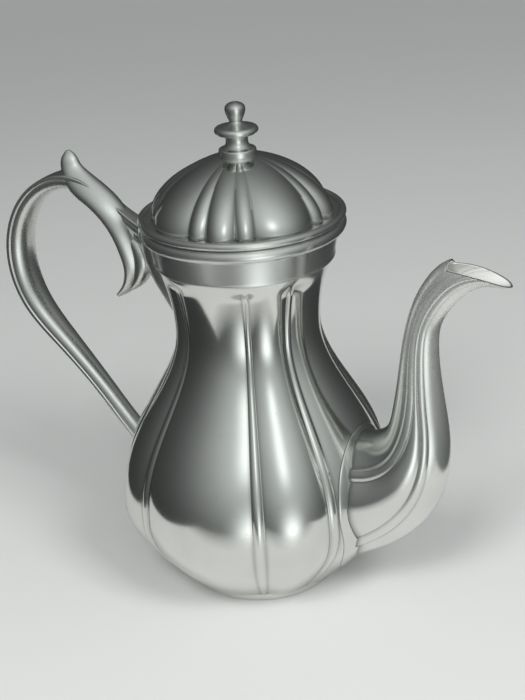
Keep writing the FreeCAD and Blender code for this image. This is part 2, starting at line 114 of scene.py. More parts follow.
# Strap of the handle in millimetres: out from the pot's axis, height, half depth, half width
STRAP_RIBS = np.array([
    (35.9, 176.0, 5.0, 6.0),
    (53.8, 179.0, 4.4, 5.4),
    (75.2, 191.6, 3.4, 4.0),
    (97.2, 203.1, 4.4, 7.2),
    (116.1, 197.7, 4.5, 8.6),
    (131.0, 180.2, 4.8, 9.4),
    (135.9, 156.8, 5.0, 9.6),
    (129.8, 134.3, 4.8, 9.0),
    (114.7, 114.9, 4.2, 7.4),
    (92.2, 89.4, 3.7, 5.8),
    (76.1, 69.5, 4.0, 5.6),
    (62.0, 54.0, 4.6, 6.0),
])
# Leaf that rises as the thumb spur, lies over the arm and hangs free as the scroll
LEAF_RIBS = np.array([
    (99.2, 218.6, 1.2, 1.2),
    (98.8, 216.8, 3.0, 2.8),
    (97.8, 211.0, 5.2, 5.0),
    (93.6, 204.0, 6.6, 7.4),
    (85.0, 197.8, 6.6, 8.8),
    (76.0, 190.4, 6.4, 9.0),
    (69.6, 180.6, 6.0, 8.2),
    (66.4, 170.0, 5.4, 7.0),
    (65.4, 159.5, 4.6, 5.8),
    (69.0, 150.0, 3.2, 4.4),
    (77.2, 142.8, 1.0, 1.4),
])
# Bud on the inner side of the scroll
BUD_RIBS = np.array([
    (66.0, 176.0, 2.0, 3.0),
    (60.5, 170.0, 4.4, 5.2),
    (59.4, 162.0, 4.8, 5.4),
    (62.6, 154.0, 3.6, 4.4),
    (68.0, 148.0, 1.4, 2.0),
])
# Tongue that braces the arm against the neck
TONGUE_RIBS = np.array([
    (49.9, 178.0, 9.0, 6.2),
    (48.9, 165.0, 9.0, 5.4),
    (43.9, 150.0, 7.0, 4.2),
    (38.4, 136.0, 4.0, 2.2),
])
# Strap's outer plate as shares of the half depth and the half width, with the rounding of each corner
STRAP_PLATE = ((1.0, 0.0, 0.3), (0.94, 0.74, 0.2), (0.88, 1.0, 0.1), (0.48, 1.0, 0.08), (0.36, 0.91, 0.03))
# Where the strap's round back starts, as the same shares
STRAP_BACK = (0.26, 0.94)
# Angle in radians by which the leaf's widest place lies behind its middle
LEAF_SKEW = 0.4

# Share of painted shade in the creases of body and dome, and at the dome's foot
GROOVE_SHADE = 0.5
SEAM_SHADE = 0.6

# Edges that turn by more degrees than these stay sharp
SHARP_RING = 35.0
SHARP_HANDLE = 38.0
SHARP_LID = 50.0
SHARP_WALL = 60.0

# Points this close are one point, a face this thin is dropped, and the last keeps a division from nought
SAME_POINT = 2e-7
SLIVER = 1e-8
TINY = 1e-12

# Floor in metres: half its width, and the distances from the pot between which it turns into the backdrop
FLOOR_HALF = 6.0
FLOOR_FADE = (0.8, 2.6)
# Near sheet of the floor in metres: half its width, its reach behind the pot and its lift
NEAR_HALF = 0.20
NEAR_BEHIND = 0.60
NEAR_LIFT = 0.2 * MM
# Lamps: side, distance and aim height in metres, then each one's turn and height in degrees
LAMP_SIDE = 0.5
LAMP_DISTANCE = 1.5
LAMP_AIM = 0.1
KEY_PLACE = (68.0, 42.0)
SECOND_PLACE = (5.0, 45.0)
# Soft lights of the room: turn and height of the middle in degrees, and sharpness
FRONT_LIGHT = (46.0, 40.0, 2.4)
NEAR_LIGHT = (42.0, 30.0, 55.0)
LOW_LIGHT = (46.0, -22.0, 22.0)
SKY_LIGHT = (0.0, 90.0, 2.0)
ROOM_TINT = (0.95, 1.0, 0.99, 1.0)
BLACK = (0.0, 0.0, 0.0, 1.0)
# Shift of the picture's middle as shares of its longer side
CAMERA_SHIFT = (0.0150, 0.0347)


def length_setting(name, description, millimetres):
    """Property for a length, with its default in millimetres."""
    return FloatProperty(name=name, description=description, default=millimetres * MM, unit="LENGTH")


def share_setting(name, description, default):
    """Property for a share of another size."""
    return FloatProperty(name=name, description=description, default=default, subtype="FACTOR")


def number_setting(name, description, default, unit="NONE"):
    """Property for a plain number or an angle in degrees, or for a number with a unit."""
    return FloatProperty(name=name, description=description, default=default, unit=unit)


def colour_setting(name, description, red, green, blue):
    """Property for a colour."""
    return FloatVectorProperty(name=name, description=description, default=(red, green, blue, 1.0), size=4,
                               subtype="COLOR")


class BodySizes(PropertyGroup):
    """Sizes of the lobed body that the construction model's boxes don't give."""
    base_radius: length_setting("Base radius", "Crest radius where the bowl meets the foot", 43.0)
    neck_radius: length_setting("Neck radius", "Crest radius at the narrowest height", 37.0)
    neck_height: length_setting("Neck height", "Height of the narrowest place", 140.0)
    top_radius: length_setting("Top radius", "Radius of the body under the collar", 43.2)
    fullness: number_setting("Shoulder fullness", "How long the shoulder stays wide", 1.15)
    wall: length_setting("Wall", "Thickness of the cast wall", 1.8)
    wide_lobe: number_setting("Wide lobe", "Angle of the four wide lobes, in degrees", 57.0)
    groove_depth: share_setting("Groove depth", "Depth of a groove as a share of the radius", 0.047)
    reed_half: number_setting("Reed half angle", "Half angle of a reed, in degrees", 2.5)
    reed_rise: share_setting("Reed rise", "Rise of a reed as a share of the radius", 0.017)
    groove_end: length_setting("Groove end", "Height where the grooves have run out", 171.5)
    groove_run: length_setting("Groove run-out", "Length over which a groove runs out", 7.0)
    core_radius: length_setting("Core opening", "Radius of the opening in the floor", 32.0)
    collar_foot: length_setting("Collar foot", "Radius of the collar at its foot", 44.4)
    mouth_radius: length_setting("Mouth radius", "Radius of the mouth", 42.0)


class SpoutSizes(PropertyGroup):
    """Sizes of the spout's wall, grooves and root band, and of the strainer behind it."""
    wall: length_setting("Wall", "Thickness of the spout's wall", 1.6)
    groove_depth: share_setting("Groove depth", "Depth of a groove as a share of the section", 0.08)
    reed_half: number_setting("Reed half angle", "Half angle of a reed at the root, in degrees", 6.0)
    neck_reed_half: number_setting(
        "Neck reed half angle", "Half angle of a reed from the neck on, in degrees", 10.5)
    reed_rise: share_setting("Reed rise", "Rise of a reed as a share of the section", 0.05)
    band_width: length_setting("Band width", "Width of the band round the root", 3.6)
    band_height: length_setting("Band height", "Height of the band round the root", 0.9)
    hole_radius: length_setting("Strainer hole", "Radius of a strainer hole", 2.5)
    hole_pitch: length_setting("Strainer pitch", "Distance between strainer holes", 9.0)
    hole_rise: length_setting("Strainer rise", "Height of the middle hole over the girth", 18.0)


class LidSizes(PropertyGroup):
    """Sizes of the dome, its lobes and the ring under the lid."""
    dome_radius: length_setting("Dome radius", "Crest radius at the dome's foot", 45.4)
    point_above: length_setting("Point above", "Height of the dome's point over its flat top", 1.4)
    fullness: number_setting("Fullness", "How long the dome stays wide", 1.8)
    slope: number_setting("Slope", "How steeply the dome closes", 0.62)
    turn: number_setting("Turn", "Turn of the lid in the mouth, in degrees", -30.0)
    groove_depth: share_setting("Groove depth", "Depth of a groove as a share of the radius", 0.085)
    reed_half: number_setting("Reed half angle", "Half angle of a reed, in degrees", 6.3)
    reed_rise: share_setting("Reed rise", "Rise of a reed as a share of the radius", 0.045)
    wall: length_setting("Wall", "Thickness of the dome and the ring", 1.6)
    hole_radius: length_setting("Shank hole", "Radius of the hole for the knob's shank", 2.15)


class FinishColours(PropertyGroup):
    """Colours of the metals and of the stage."""
    bright: colour_setting("Bright pewter", "Pewter fresh from the lathe", 0.90, 0.905, 0.88)
    pewter: colour_setting("Pewter", "Polished pewter", 0.78, 0.785, 0.76)
    dull: colour_setting("Dull pewter", "Pewter with a film of tarnish", 0.69, 0.70, 0.67)
    # Colour of the painted shade in the creases and at the seams, and of the faint random dark specks
    crease_shade_and_specks: colour_setting("Crease shade", "Dark colour of the painted shade in the grooves and of the specks", 0.26, 0.26, 0.24)
    pale: colour_setting("Pale pewter", "Matte inside of the spout", 0.80, 0.81, 0.78)
    brass: colour_setting("Brass", "Brass of the hidden fixings", 0.70, 0.52, 0.25)
    floor: colour_setting("Floor", "Pale floor", 0.80, 0.80, 0.79)
    backdrop: colour_setting("Backdrop", "Plain backdrop behind the floor", 0.34, 0.35, 0.345)


class StageSizes(PropertyGroup):
    """Place of the camera, strength of the lights and reach of the near floor."""
    azimuth: number_setting("Azimuth", "Turn of the camera round the pot, in degrees", 30.0)
    elevation: number_setting("Elevation", "Height of the camera, in degrees", 24.731)
    roll: number_setting("Roll", "Tilt of the picture, in degrees", -3.697)
    distance: length_setting("Distance", "From the camera to the aim point", 710.1)
    aim: length_setting("Aim height", "Height of the aim point on the pot's axis", 110.0)
    lens: number_setting("Lens", "Focal length in millimetres", 72.0, "CAMERA")
    key_power: number_setting("Key lamp", "Power of the lamp on the right, in watts", 8.8, "POWER")
    second_power: number_setting("Second lamp", "Power of the lamp on the left, in watts", 10.4, "POWER")
    front_light: number_setting("Front light", "Strength of the wide soft light in front", 0.68)
    near_light: number_setting("Near light", "Strength of the soft light beside the camera", 0.85)
    low_light: number_setting("Low light", "Strength of the light from low in front", 1.4)
    sky_light: number_setting("Overhead light", "Strength of the soft light overhead", 0.08)
    room: number_setting("Room", "Strength of the dim room", 0.03)
    near_edge: length_setting("Near edge", "How far in front of the pot its polish sees the floor", 188.0)
    near_fade: length_setting("Near fade", "Half width of the near floor's soft front edge", 48.0)


def natural_spline(knots, values, at):
    """Cubic curve through values at knots whose bend is nought at both ends, read at the places given."""
    gaps = np.diff(knots)
    slopes = np.diff(values, axis=0) / gaps[:, None]
    system = np.eye(len(knots))
    inner = np.arange(1, len(knots) - 1)
    system[inner, inner - 1] = gaps[:-1]
    system[inner, inner] = 2.0 * (gaps[:-1] + gaps[1:])
    system[inner, inner + 1] = gaps[1:]
    right = np.zeros_like(values)
    right[1:-1] = 6.0 * np.diff(slopes, axis=0)
    bends = np.linalg.solve(system, right)
    cell = np.clip(np.searchsorted(knots, at) - 1, 0, len(knots) - 2)
    gap = gaps[cell][:, None]
    before = (knots[cell + 1] - at)[:, None] / gap
    after = 1.0 - before
    straight = before * values[cell] + after * values[cell + 1]
    bent = (before ** 3 - before) * bends[cell] + (after ** 3 - after) * bends[cell + 1]
    return straight + bent * gap ** 2 / 6.0


def along(points):
    """Share of the way along a row of points at each of them, from 0 to 1."""
    steps = np.linalg.norm(np.diff(points, axis=0), axis=1)
    way = np.concatenate([[0.0], np.cumsum(steps)])
    return way / way[-1]


def evenly(points, count):
    """The row of points read again at even steps of its length."""
    way = along(points)
    at = np.linspace(0.0, 1.0, count)
    return np.stack([np.interp(at, way, column) for column in points.T], axis=1)


def crest_run(crest, start, end, rows, fine=1200):
    """Outline (radius, height) of a crest curve between two heights, at even steps of its length."""
    height = np.linspace(start, end, fine)
    return evenly(np.stack([crest(height), height], axis=1), rows)


def plain_corners(points):
    """Corners (across, up, rounding) at a row of points, none of them rounded."""
    return np.column_stack([points, np.zeros(len(points))])


def softened(corners, steps=5, most=0.45):
    """Closed outline whose corners (across, up, rounding) are parabolas that start that far from the corner.

    A rounding takes at most a share of the way to the next corner.
    """
    place, width = corners[:, :2], corners[:, 2:]
    back = np.roll(place, 1, axis=0) - place
    ahead = np.roll(place, -1, axis=0) - place
    back_length = np.linalg.norm(back, axis=1, keepdims=True)
    ahead_length = np.linalg.norm(ahead, axis=1, keepdims=True)
    start = place + back / back_length * np.minimum(width, most * back_length)
    end = place + ahead / ahead_length * np.minimum(width, most * ahead_length)
    share = np.linspace(0.0, 1.0, steps)[None, :, None]
    curve = ((1.0 - share) ** 2 * start[:, None] + 2.0 * share * (1.0 - share) * place[:, None]
             + share ** 2 * end[:, None]).reshape(-1, 2)
    apart = np.linalg.norm(curve - np.roll(curve, 1, axis=0), axis=1) > SAME_POINT
    return curve[apart]


def lobe_reach(angle, grooves, depth, reed_half, reed_rise):
    """Radius of a lobed outline as a share of its crest, at angles in degrees.

    A lobe is a circle's arc through its crest and its two groove edges; a reed is a parabola in the groove.
    """
    following = np.append(grooves[1:], grooves[0] + FULL_TURN)
    turned = (angle - grooves[0]) % FULL_TURN + grooves[0]
    lobe = np.clip(np.searchsorted(grooves, turned, side="right") - 1, 0, len(grooves) - 1)
    half = (following[lobe] - grooves[lobe]) / 2.0
    from_crest = turned - grooves[lobe] - half
    from_groove = half - np.abs(from_crest)
    edge = 1.0 - depth
    turn = np.radians(np.minimum(np.abs(from_crest), half - reed_half))
    centre = (1.0 - edge ** 2) / (2.0 * (1.0 - edge * np.cos(np.radians(half - reed_half))))
    arc = centre * np.cos(turn) + np.sqrt((1.0 - centre) ** 2 - (centre * np.sin(turn)) ** 2)
    reed = np.clip(1.0 - (from_groove / reed_half) ** 2, 0.0, None) * reed_rise
    return np.where(from_groove < reed_half, edge + reed, arc)


def lobe_hollow(angle, grooves, reed_half, width=0.9):
    """1 at the two creases beside a reed, falling as a bell curve of a width in degrees on either side."""
    half_turn = FULL_TURN / 2.0
    apart = np.abs((angle[:, None] - grooves[None, :] + half_turn) % FULL_TURN - half_turn).min(axis=1)
    return np.exp(-((apart - reed_half) / width) ** 2)


def lobe_angles(grooves, reed_half, lobe_step=1.35, reed_steps=10):
    """Angles round a lobed outline, close together at the creases beside the reeds.

    Across a lobe they follow a sine, with a mean step in degrees; across a reed they are even.
    """
    following = np.append(grooves[1:], grooves[0] + FULL_TURN)
    rows = []
    for groove, after in zip(grooves, following):
        half = (after - groove) / 2.0 - reed_half
        count = int(round(2.0 * half / lobe_step))
        swing = np.sin(np.linspace(-1.0, 1.0, count, endpoint=False) * np.pi / 2.0)
        rows.append(np.linspace(groove - reed_half, groove + reed_half, reed_steps, endpoint=False))
        rows.append(groove + reed_half + half + half * swing)
    return np.concatenate(rows)


def lobe_grooves(wide_lobe, turn=0.0):
    """Angles of the eight grooves between four wide and four narrow lobes."""
    half = wide_lobe / 2.0
    return np.sort((QUARTER_TURNS[:, None] + np.array([-half, half])).ravel()) + turn


def round_places(radius, angle, height):
    """Places round the axis: a radius times cosine and sine of an angle in degrees, and a height."""
    turn = np.radians(angle)
    return np.stack(np.broadcast_arrays(radius * np.cos(turn), radius * np.sin(turn), height), axis=-1)


def angle_of(places):
    """Angle of places round the axis, in degrees."""
    return np.degrees(np.arctan2(places[..., 1], places[..., 0]))


def grid_faces(rows, columns, close_rows=True):
    """Four-cornered faces between neighbouring rows and columns, whose columns close round the grid."""
    index = np.arange(rows * columns).reshape(rows, columns)
    if close_rows:
        index = np.vstack([index, index[:1]])
    index = np.hstack([index, index[:, :1]])
    return np.stack([index[:-1, :-1], index[:-1, 1:], index[1:, 1:], index[1:, :-1]], axis=-1).reshape(-1, 4)


def add_attribute(mesh, name, values):
    """Number at every point of a mesh, for its finish to read."""
    attribute = mesh.attributes.new(name, "FLOAT", "POINT")
    attribute.data.foreach_set("value", values.astype(np.float32))


def smoothed(mesh):
    """Shades every face of a mesh smoothly."""
    mesh.polygons.foreach_set("use_smooth", np.ones(len(mesh.polygons), bool))
    return mesh


def sharpened(mesh, degrees):
    """Marks edges that turn by more than an angle as sharp."""
    mesh.set_sharp_from_angle(angle=math.radians(degrees))
    return mesh


def mesh_from(name, places, faces, marks=None):
    """Mesh of four-cornered faces with doubled points merged and every face turned outwards.

    Marks are numbers at every point, by name, for the finish to read.
    """
    mesh = bpy.data.meshes.new(name)
    mesh.vertices.add(len(places))
    mesh.vertices.foreach_set("co", places.astype(np.float32).ravel())
    mesh.loops.add(faces.size)
    mesh.loops.foreach_set("vertex_index", faces.astype(np.int32).ravel())
    mesh.polygons.add(len(faces))
    mesh.polygons.foreach_set("loop_start", np.arange(len(faces), dtype=np.int32) * 4)
    mesh.update(calc_edges=True)
    for mark, values in (marks or {}).items():
        add_attribute(mesh, mark, values.ravel())
    merged = bmesh.new()
    merged.from_mesh(mesh)
    bmesh.ops.remove_doubles(merged, verts=merged.verts, dist=SAME_POINT)
    bmesh.ops.dissolve_degenerate(merged, edges=merged.edges, dist=SLIVER)
    bmesh.ops.recalc_face_normals(merged, faces=merged.faces)
    merged.to_mesh(mesh)
    merged.free()
    smoothed(mesh).update()
    return mesh


def grid_mesh(name, grid, close_rows=True, marks=None):
    """Mesh of a grid of places (rows, columns, 3) that closes round its columns."""
    rows, columns = grid.shape[:2]
    return mesh_from(name, grid.reshape(-1, 3), grid_faces(rows, columns, close_rows), marks)


def points_of(mesh):
    """Places of a mesh's points as one array."""
    places = np.empty(len(mesh.vertices) * 3, np.float32)
    mesh.vertices.foreach_get("co", places)
    return places.reshape(-1, 3).astype(float)


def put_piece(mesh, body, slot, colours, *nodes):
    """Object that shows a mesh, rides on a body, wears a slot's finish and stands for construction nodes."""
    piece = bpy.data.objects.new(mesh.name, mesh)
    bpy.context.scene.collection.objects.link(piece)
    mesh.materials.clear()
    mesh.materials.append(finish_for(slot, colours))
    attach(piece, body)
    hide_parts(*nodes)


def carved(mesh, operation, *tools):
    """The mesh joined with others or cut by them, one after the other, with exact edges and smooth faces."""
    scene = bpy.context.scene
    work = bpy.data.objects.new("work", mesh)
    scene.collection.objects.link(work)
    helpers = []
    for tool in tools:
        helper = bpy.data.objects.new("helper", tool)
        scene.collection.objects.link(helper)
        modifier = work.modifiers.new("carve", "BOOLEAN")
        modifier.operation = operation
        modifier.solver = "EXACT"
        modifier.object = helper
        helpers.append(helper)
    graph = bpy.context.evaluated_depsgraph_get()
    result = bpy.data.meshes.new_from_object(work.evaluated_get(graph))
    result.name = mesh.name
    for spent in [work] + helpers:
        bpy.data.objects.remove(spent)
    return smoothed(result)


def turned_mesh(name, outline, columns=200):
    """Surface of revolution: each point (radius, height) of a closed outline carried round the axis."""
    angle = np.linspace(0.0, FULL_TURN, columns, endpoint=False)
    return grid_mesh(name, round_places(outline[:, :1], angle, outline[:, 1:]))


def crest_radius(sizes, height):
    """Crest radius of the pear: a sine up to the girth, a skewed cosine to the neck, then a square flare."""
    bowl = (height - FOOT_HEIGHT) / (GIRTH_HEIGHT - FOOT_HEIGHT)
    low = sizes.base_radius + (BELLY_RADIUS - sizes.base_radius) * np.sin(np.pi / 2.0 * bowl)
    climb = np.clip((height - GIRTH_HEIGHT) / (sizes.neck_height - GIRTH_HEIGHT), 0.0, 1.0)
    swing = (1.0 + np.cos(np.pi * climb ** sizes.fullness)) / 2.0
    middle = sizes.neck_radius + (BELLY_RADIUS - sizes.neck_radius) * swing
    flare = np.clip((height - sizes.neck_height) / (BODY_TOP - sizes.neck_height), 0.0, 1.0) ** 2
    return np.where(height < GIRTH_HEIGHT, low, middle + (sizes.top_radius - sizes.neck_radius) * flare)


def groove_strength(sizes, height):
    """Share of the full groove depth: 1 on the body, falling smoothly to 0 under the collar."""
    run = np.clip((sizes.groove_end - height) / sizes.groove_run, 0.0, 1.0)
    return run * run * (3.0 - 2.0 * run)


def body_reach(sizes, angle, height):
    """Radius of the lobed body as a share of its crest, at angles and heights."""
    strength = groove_strength(sizes, height)
    return lobe_reach(angle, lobe_grooves(sizes.wide_lobe), sizes.groove_depth * strength,
                      sizes.reed_half, sizes.reed_rise * strength)


def body_surface(sizes, angle, height):
    """Radius of the body's outside at angles in degrees and heights."""
    return crest_radius(sizes, height) * body_reach(sizes, angle, height)


def above_body(sizes, places):
    """Distance of places outside the body: their radius less the body's at the same angle and height."""
    radius = np.hypot(places[..., 0], places[..., 1])
    return radius - body_surface(sizes, angle_of(places), places[..., 2])


def body_outline(sizes):
    """Closed outline of the body's wall as crest radius, height, and the share of lobing kept there."""
    edge, lip = 0.9 * MM, 0.4 * MM
    outer_rows, inner_rows = 150, 64
    floor_top = FOOT_HEIGHT + sizes.wall
    core = sizes.core_radius
    outer = crest_run(lambda height: crest_radius(sizes, height), FOOT_HEIGHT, BODY_TOP, outer_rows)
    inner = crest_run(lambda height: crest_radius(sizes, height) - sizes.wall,
                      BODY_TOP, floor_top, inner_rows)
    outer, inner = plain_corners(outer), plain_corners(inner)
    outer[[0, -1], 2] = edge, lip
    inner[[0, -1], 2] = lip, edge
    floor = [(core, floor_top, lip), (core, FOOT_HEIGHT, lip)]
    loop = softened(np.concatenate([outer, inner, floor]))
    flat = np.clip((loop[:, 0] - core) / (sizes.base_radius - sizes.wall - core), 0.0, 1.0)
    return loop[:, 0], loop[:, 1], np.where(loop[:, 1] < floor_top + lip, flat, 1.0)


def build_body(sizes):
    """Lobed shell: crest radius times the lobes' reach at each angle, round the wall's closed outline."""
    angle = lobe_angles(lobe_grooves(sizes.wide_lobe), sizes.reed_half)
    crest, height, kept = (column[:, None] for column in body_outline(sizes))
    reach = 1.0 + (body_reach(sizes, angle, height) - 1.0) * kept
    return grid_mesh("body", round_places(crest * reach, angle, height))


def mark_body_hollows(sizes, mesh):
    """Gives each point of the body its share of groove, for the painted shade in the creases."""
    places = points_of(mesh)
    hollow = lobe_hollow(angle_of(places), lobe_grooves(sizes.wide_lobe), sizes.reed_half)
    add_attribute(mesh, "hollow", GROOVE_SHADE * hollow * groove_strength(sizes, places[:, 2]))


def strainer_drills(sizes):
    """Seven bars through the wall behind the spout: a middle one and six round it, with flat closed ends.

    They reach from half the belly's radius to a tenth past it.
    """
    around, sides = 6, 24
    start, end, closed = 0.5, 1.1, 1e-6
    turn = np.radians(np.arange(around) * FULL_TURN / around)
    across = np.concatenate([[0.0], sizes.hole_pitch * np.cos(turn)])[:, None, None]
    up = np.concatenate([[0.0], sizes.hole_pitch * np.sin(turn)])[:, None, None]
    ring = np.linspace(0.0, 2.0 * np.pi, sides, endpoint=False)
    reach = np.array([start, start, end, end])[:, None] * BELLY_RADIUS
    size = np.array([closed, 1.0, 1.0, closed])[:, None] * sizes.hole_radius
    y = across + size * np.cos(ring)
    z = GIRTH_HEIGHT + sizes.hole_rise + up + size * np.sin(ring)
    grid = np.stack(np.broadcast_arrays(reach, y, z), axis=-1)
    drills, rows = y.shape[:2]
    first = np.arange(drills)[:, None, None] * rows * sides
    faces = (grid_faces(rows, sides, close_rows=False) + first).reshape(-1, 4)
    return mesh_from("drills", grid.reshape(-1, 3), faces)


def build_foot_plate():
    """Turned disc with a rounded foot edge and a shallow step to the bowl."""
    foot_edge, crease = 0.7 * MM, 0.3 * MM
    step, plate_top = FOOT_RADIUS - 4.0 * MM, 2.5 * MM
    corners = np.array([
        (0.0, 0.0, 0.0), (FOOT_RADIUS, 0.0, foot_edge), (FOOT_RADIUS, FOOT_HEIGHT, crease),
        (step, FOOT_HEIGHT, crease), (step, plate_top, crease), (0.0, plate_top, 0.0),
    ])
    return turned_mesh("foot_plate", softened(corners))


def build_collar(sizes):
    """Plain flared band with softened edges and a hair-thin foot bead."""
    foot, top = sizes.collar_foot, COLLAR_TOP_RADIUS
    fine, soft, foot_edge, hem_edge = 0.1 * MM, 0.2 * MM, 0.45 * MM, 0.6 * MM
    bead_out, bead_rise = 0.15 * MM, 1.1 * MM
    groove_in, groove_rise = 0.1 * MM, 1.5 * MM
    hem_in, hem_drop = 0.2 * MM, 0.8 * MM
    corners = np.array([
        (sizes.top_radius - sizes.wall, BODY_TOP, soft),
        (foot, BODY_TOP, foot_edge),
        (foot + bead_out, BODY_TOP + bead_rise, soft),
        (foot - groove_in, BODY_TOP + groove_rise, soft),
        (top - hem_in, COLLAR_TOP - hem_drop, hem_edge),
        (top, COLLAR_TOP, fine),
        (sizes.mouth_radius, COLLAR_TOP, fine),
    ])
    return turned_mesh("collar", softened(corners))


def bead_arc(outer, low, high, last, count):
    """Corners along a round bead, from its lowest place past its outermost one to an angle in degrees."""
    bead = (high - low) / 2.0
    turn = np.radians(np.linspace(-90.0, last, count))
    side = np.stack([outer - bead + bead * np.cos(turn), low + bead + bead * np.sin(turn)], axis=1)
    return plain_corners(side)


def build_mouth_rim(sizes):
    """Half-round bead round the mouth with a flat seat for the lid."""
    mouth, edge = sizes.mouth_radius, 0.3 * MM
    bead = bead_arc(RIM_RADIUS, COLLAR_TOP, RIM_TOP, last=90.0, count=28)
    bore = [(mouth, RIM_TOP, edge), (mouth, COLLAR_TOP, edge)]
    return turned_mesh("rim_bead", softened(np.concatenate([bead, bore])))


def build_lid_shelf(sizes):
    """Flat shelf of the lid: a round bead at its edge, a fillet and a small step at the dome's foot."""
    dome, inner = sizes.dome_radius, BEZEL_RADIUS - sizes.wall
    step_foot, step_edge, step_inner = dome + 0.9 * MM, dome + 0.5 * MM, dome - 1.2 * MM
    step_top = DOME_FOOT + 0.55 * MM
    fillet, brow, fine, bore_top, bore_foot = 0.4 * MM, 0.25 * MM, 0.1 * MM, 0.3 * MM, 0.2 * MM
    bead = bead_arc(LID_RADIUS, LID_SEAT, LID_CREST, last=167.4, count=30)
    shelf = [
        (step_foot, DOME_FOOT, fillet), (step_edge, step_top, brow), (step_inner, step_top, fine),
        (step_inner, DOME_FOOT, fine), (inner, DOME_FOOT, bore_top), (inner, LID_SEAT, bore_foot),
    ]
    return turned_mesh("lid_shelf", softened(np.concatenate([bead, shelf])))


def build_bezel(sizes):
    """Plain ring under the lid with softened edges."""
    inner = BEZEL_RADIUS - sizes.wall
    inner_edge, outer_edge, fine = 0.4 * MM, 0.6 * MM, 0.1 * MM
    corners = np.array([
        (inner, BEZEL_FOOT, inner_edge), (BEZEL_RADIUS, BEZEL_FOOT, outer_edge),
        (BEZEL_RADIUS, LID_SEAT, fine), (inner, LID_SEAT, fine),
    ])
    return turned_mesh("bezel_ring", softened(corners), columns=160)


def dome_crest(sizes, height, grow):
    """Crest radius of the dome: (1 - climb to a power) to a power, grown outwards by a distance."""
    climb = np.clip((height - DOME_FOOT) / (DOME_TOP - DOME_FOOT + sizes.point_above + grow), 0.0, 1.0)
    return (sizes.dome_radius + grow) * (1.0 - climb ** sizes.fullness) ** sizes.slope


def dome_fade(height):
    """Share of the dome's groove depth: full at the foot, less a share of the climb to a power."""
    lost, power = 0.8, 5
    climb = np.clip((height - DOME_FOOT) / (DOME_TOP - DOME_FOOT), 0.0, 1.0)
    return 1.0 - lost * climb ** power


def build_dome(sizes, wide_lobe):
    """Fluted dome: crest radius times the lobes' reach round the outline of outside, hole and inside."""
    outer_rows, inner_rows = 100, 46
    seam_width = 1.1 * MM
    low, ceiling = DOME_FOOT + 0.02 * MM, DOME_TOP - sizes.wall
    outer = crest_run(lambda height: dome_crest(sizes, height, 0.0), low, DOME_TOP, outer_rows)
    hole = [(sizes.hole_radius, DOME_TOP), (sizes.hole_radius, ceiling)]
    inner = crest_run(lambda height: dome_crest(sizes, height, -sizes.wall), ceiling, low, inner_rows)
    crest, height = np.split(np.concatenate([outer, hole, inner]), 2, axis=1)
    grooves = lobe_grooves(wide_lobe, sizes.turn)
    angle = lobe_angles(grooves, sizes.reed_half)
    fade = dome_fade(height)
    reach = lobe_reach(angle, grooves, sizes.groove_depth * fade, sizes.reed_half, sizes.reed_rise * fade)
    reach[len(outer):len(outer) + len(hole)] = 1.0
    mesh = grid_mesh("dome", round_places(crest * reach, angle, height))
    places = points_of(mesh)
    # The hollow mark is painted shade in the creases beside the reeds and along the seam at the dome's foot
    crease = lobe_hollow(angle_of(places), grooves, sizes.reed_half) * dome_fade(places[:, 2])
    seam = SEAM_SHADE * np.exp(-((places[:, 2] - DOME_FOOT) / seam_width) ** 2)
    add_attribute(mesh, "hollow", np.maximum(GROOVE_SHADE * crease, seam))
    return sharpened(mesh, SHARP_LID)


def build_knob(sizes):
    """Turned knob: shank, base, hollow waist, disc with a rolled edge, stem and pear-shaped ball.

    The waist is a power curve either side of its narrowest place, the stem's foot another, the ball's
    underside a sine, and the disc's edge and the crown are ovals.
    """
    z = DOME_TOP
    base, waist, disc, stem, ball = 9.0 * MM, 5.3 * MM, 10.5 * MM, 3.1 * MM, 4.9 * MM
    base_top, disc_low, disc_high = z + 3.6 * MM, z + 10.3 * MM, z + 14.0 * MM
    ball_foot, ball_middle = z + 16.6 * MM, z + 22.4 * MM
    flare, roll = 1.6 * MM, 2.2 * MM
    hub, hub_top = disc - roll - 1.2 * MM, disc_high + 0.3 * MM
    shank = sizes.hole_radius - 0.15 * MM
    narrow, waist_power, stem_power = 0.55, 2.4, 2.6
    shank_edge, crease, base_foot, base_edge = 0.3 * MM, 0.1 * MM, 0.25 * MM, 1.0 * MM
    run_points, edge_points, crown_points = 20, 21, 16
    share = np.linspace(0.0, 1.0, run_points)
    bend = np.where(share < narrow, (narrow - share) / narrow, (share - narrow) / (1.0 - narrow))
    waist_run = np.stack([waist + flare * bend ** waist_power,
                          base_top + (disc_low - base_top) * share], axis=1)
    turn = np.radians(np.linspace(-90.0, 90.0, edge_points))
    edge = np.stack([disc - roll + roll * np.cos(turn),
                     (disc_low + disc_high) / 2.0 + (disc_high - disc_low) / 2.0 * np.sin(turn)], axis=1)
    stem_run = np.stack([stem + (hub - stem) * (1.0 - share) ** stem_power,
                         hub_top + (ball_foot - hub_top) * share], axis=1)
    taper = np.stack([stem + (ball - stem) * np.sin(np.pi / 2.0 * share),
                      ball_foot + (ball_middle - ball_foot) * share], axis=1)[1:]
    turn = np.radians(np.linspace(0.0, 90.0, crown_points))[1:]
    crown = np.stack([ball * np.cos(turn), ball_middle + (KNOB_TOP - ball_middle) * np.sin(turn)], axis=1)
    smooth = plain_corners(np.concatenate([waist_run, edge, stem_run, taper, crown]))
    foot = [
        (0.0, KNOB_FOOT, 0.0), (shank, KNOB_FOOT, shank_edge), (shank, z, crease), (base, z, base_foot),
        (base, base_top - crease, base_edge),
    ]
    return sharpened(turned_mesh("knob", softened(np.concatenate([foot, smooth])), columns=96), SHARP_LID)


def spout_way():
    """Share of the spout's length at each of its ribs, along the middles of their sections."""
    return along((SPOUT_RIBS[:, 0:2] + SPOUT_RIBS[:, 2:4]) / 2.0)


def spout_neck():
    """Share of the spout's length from which its grooves run on at steady angles."""
    return spout_way()[SPOUT_NECK_RIB]


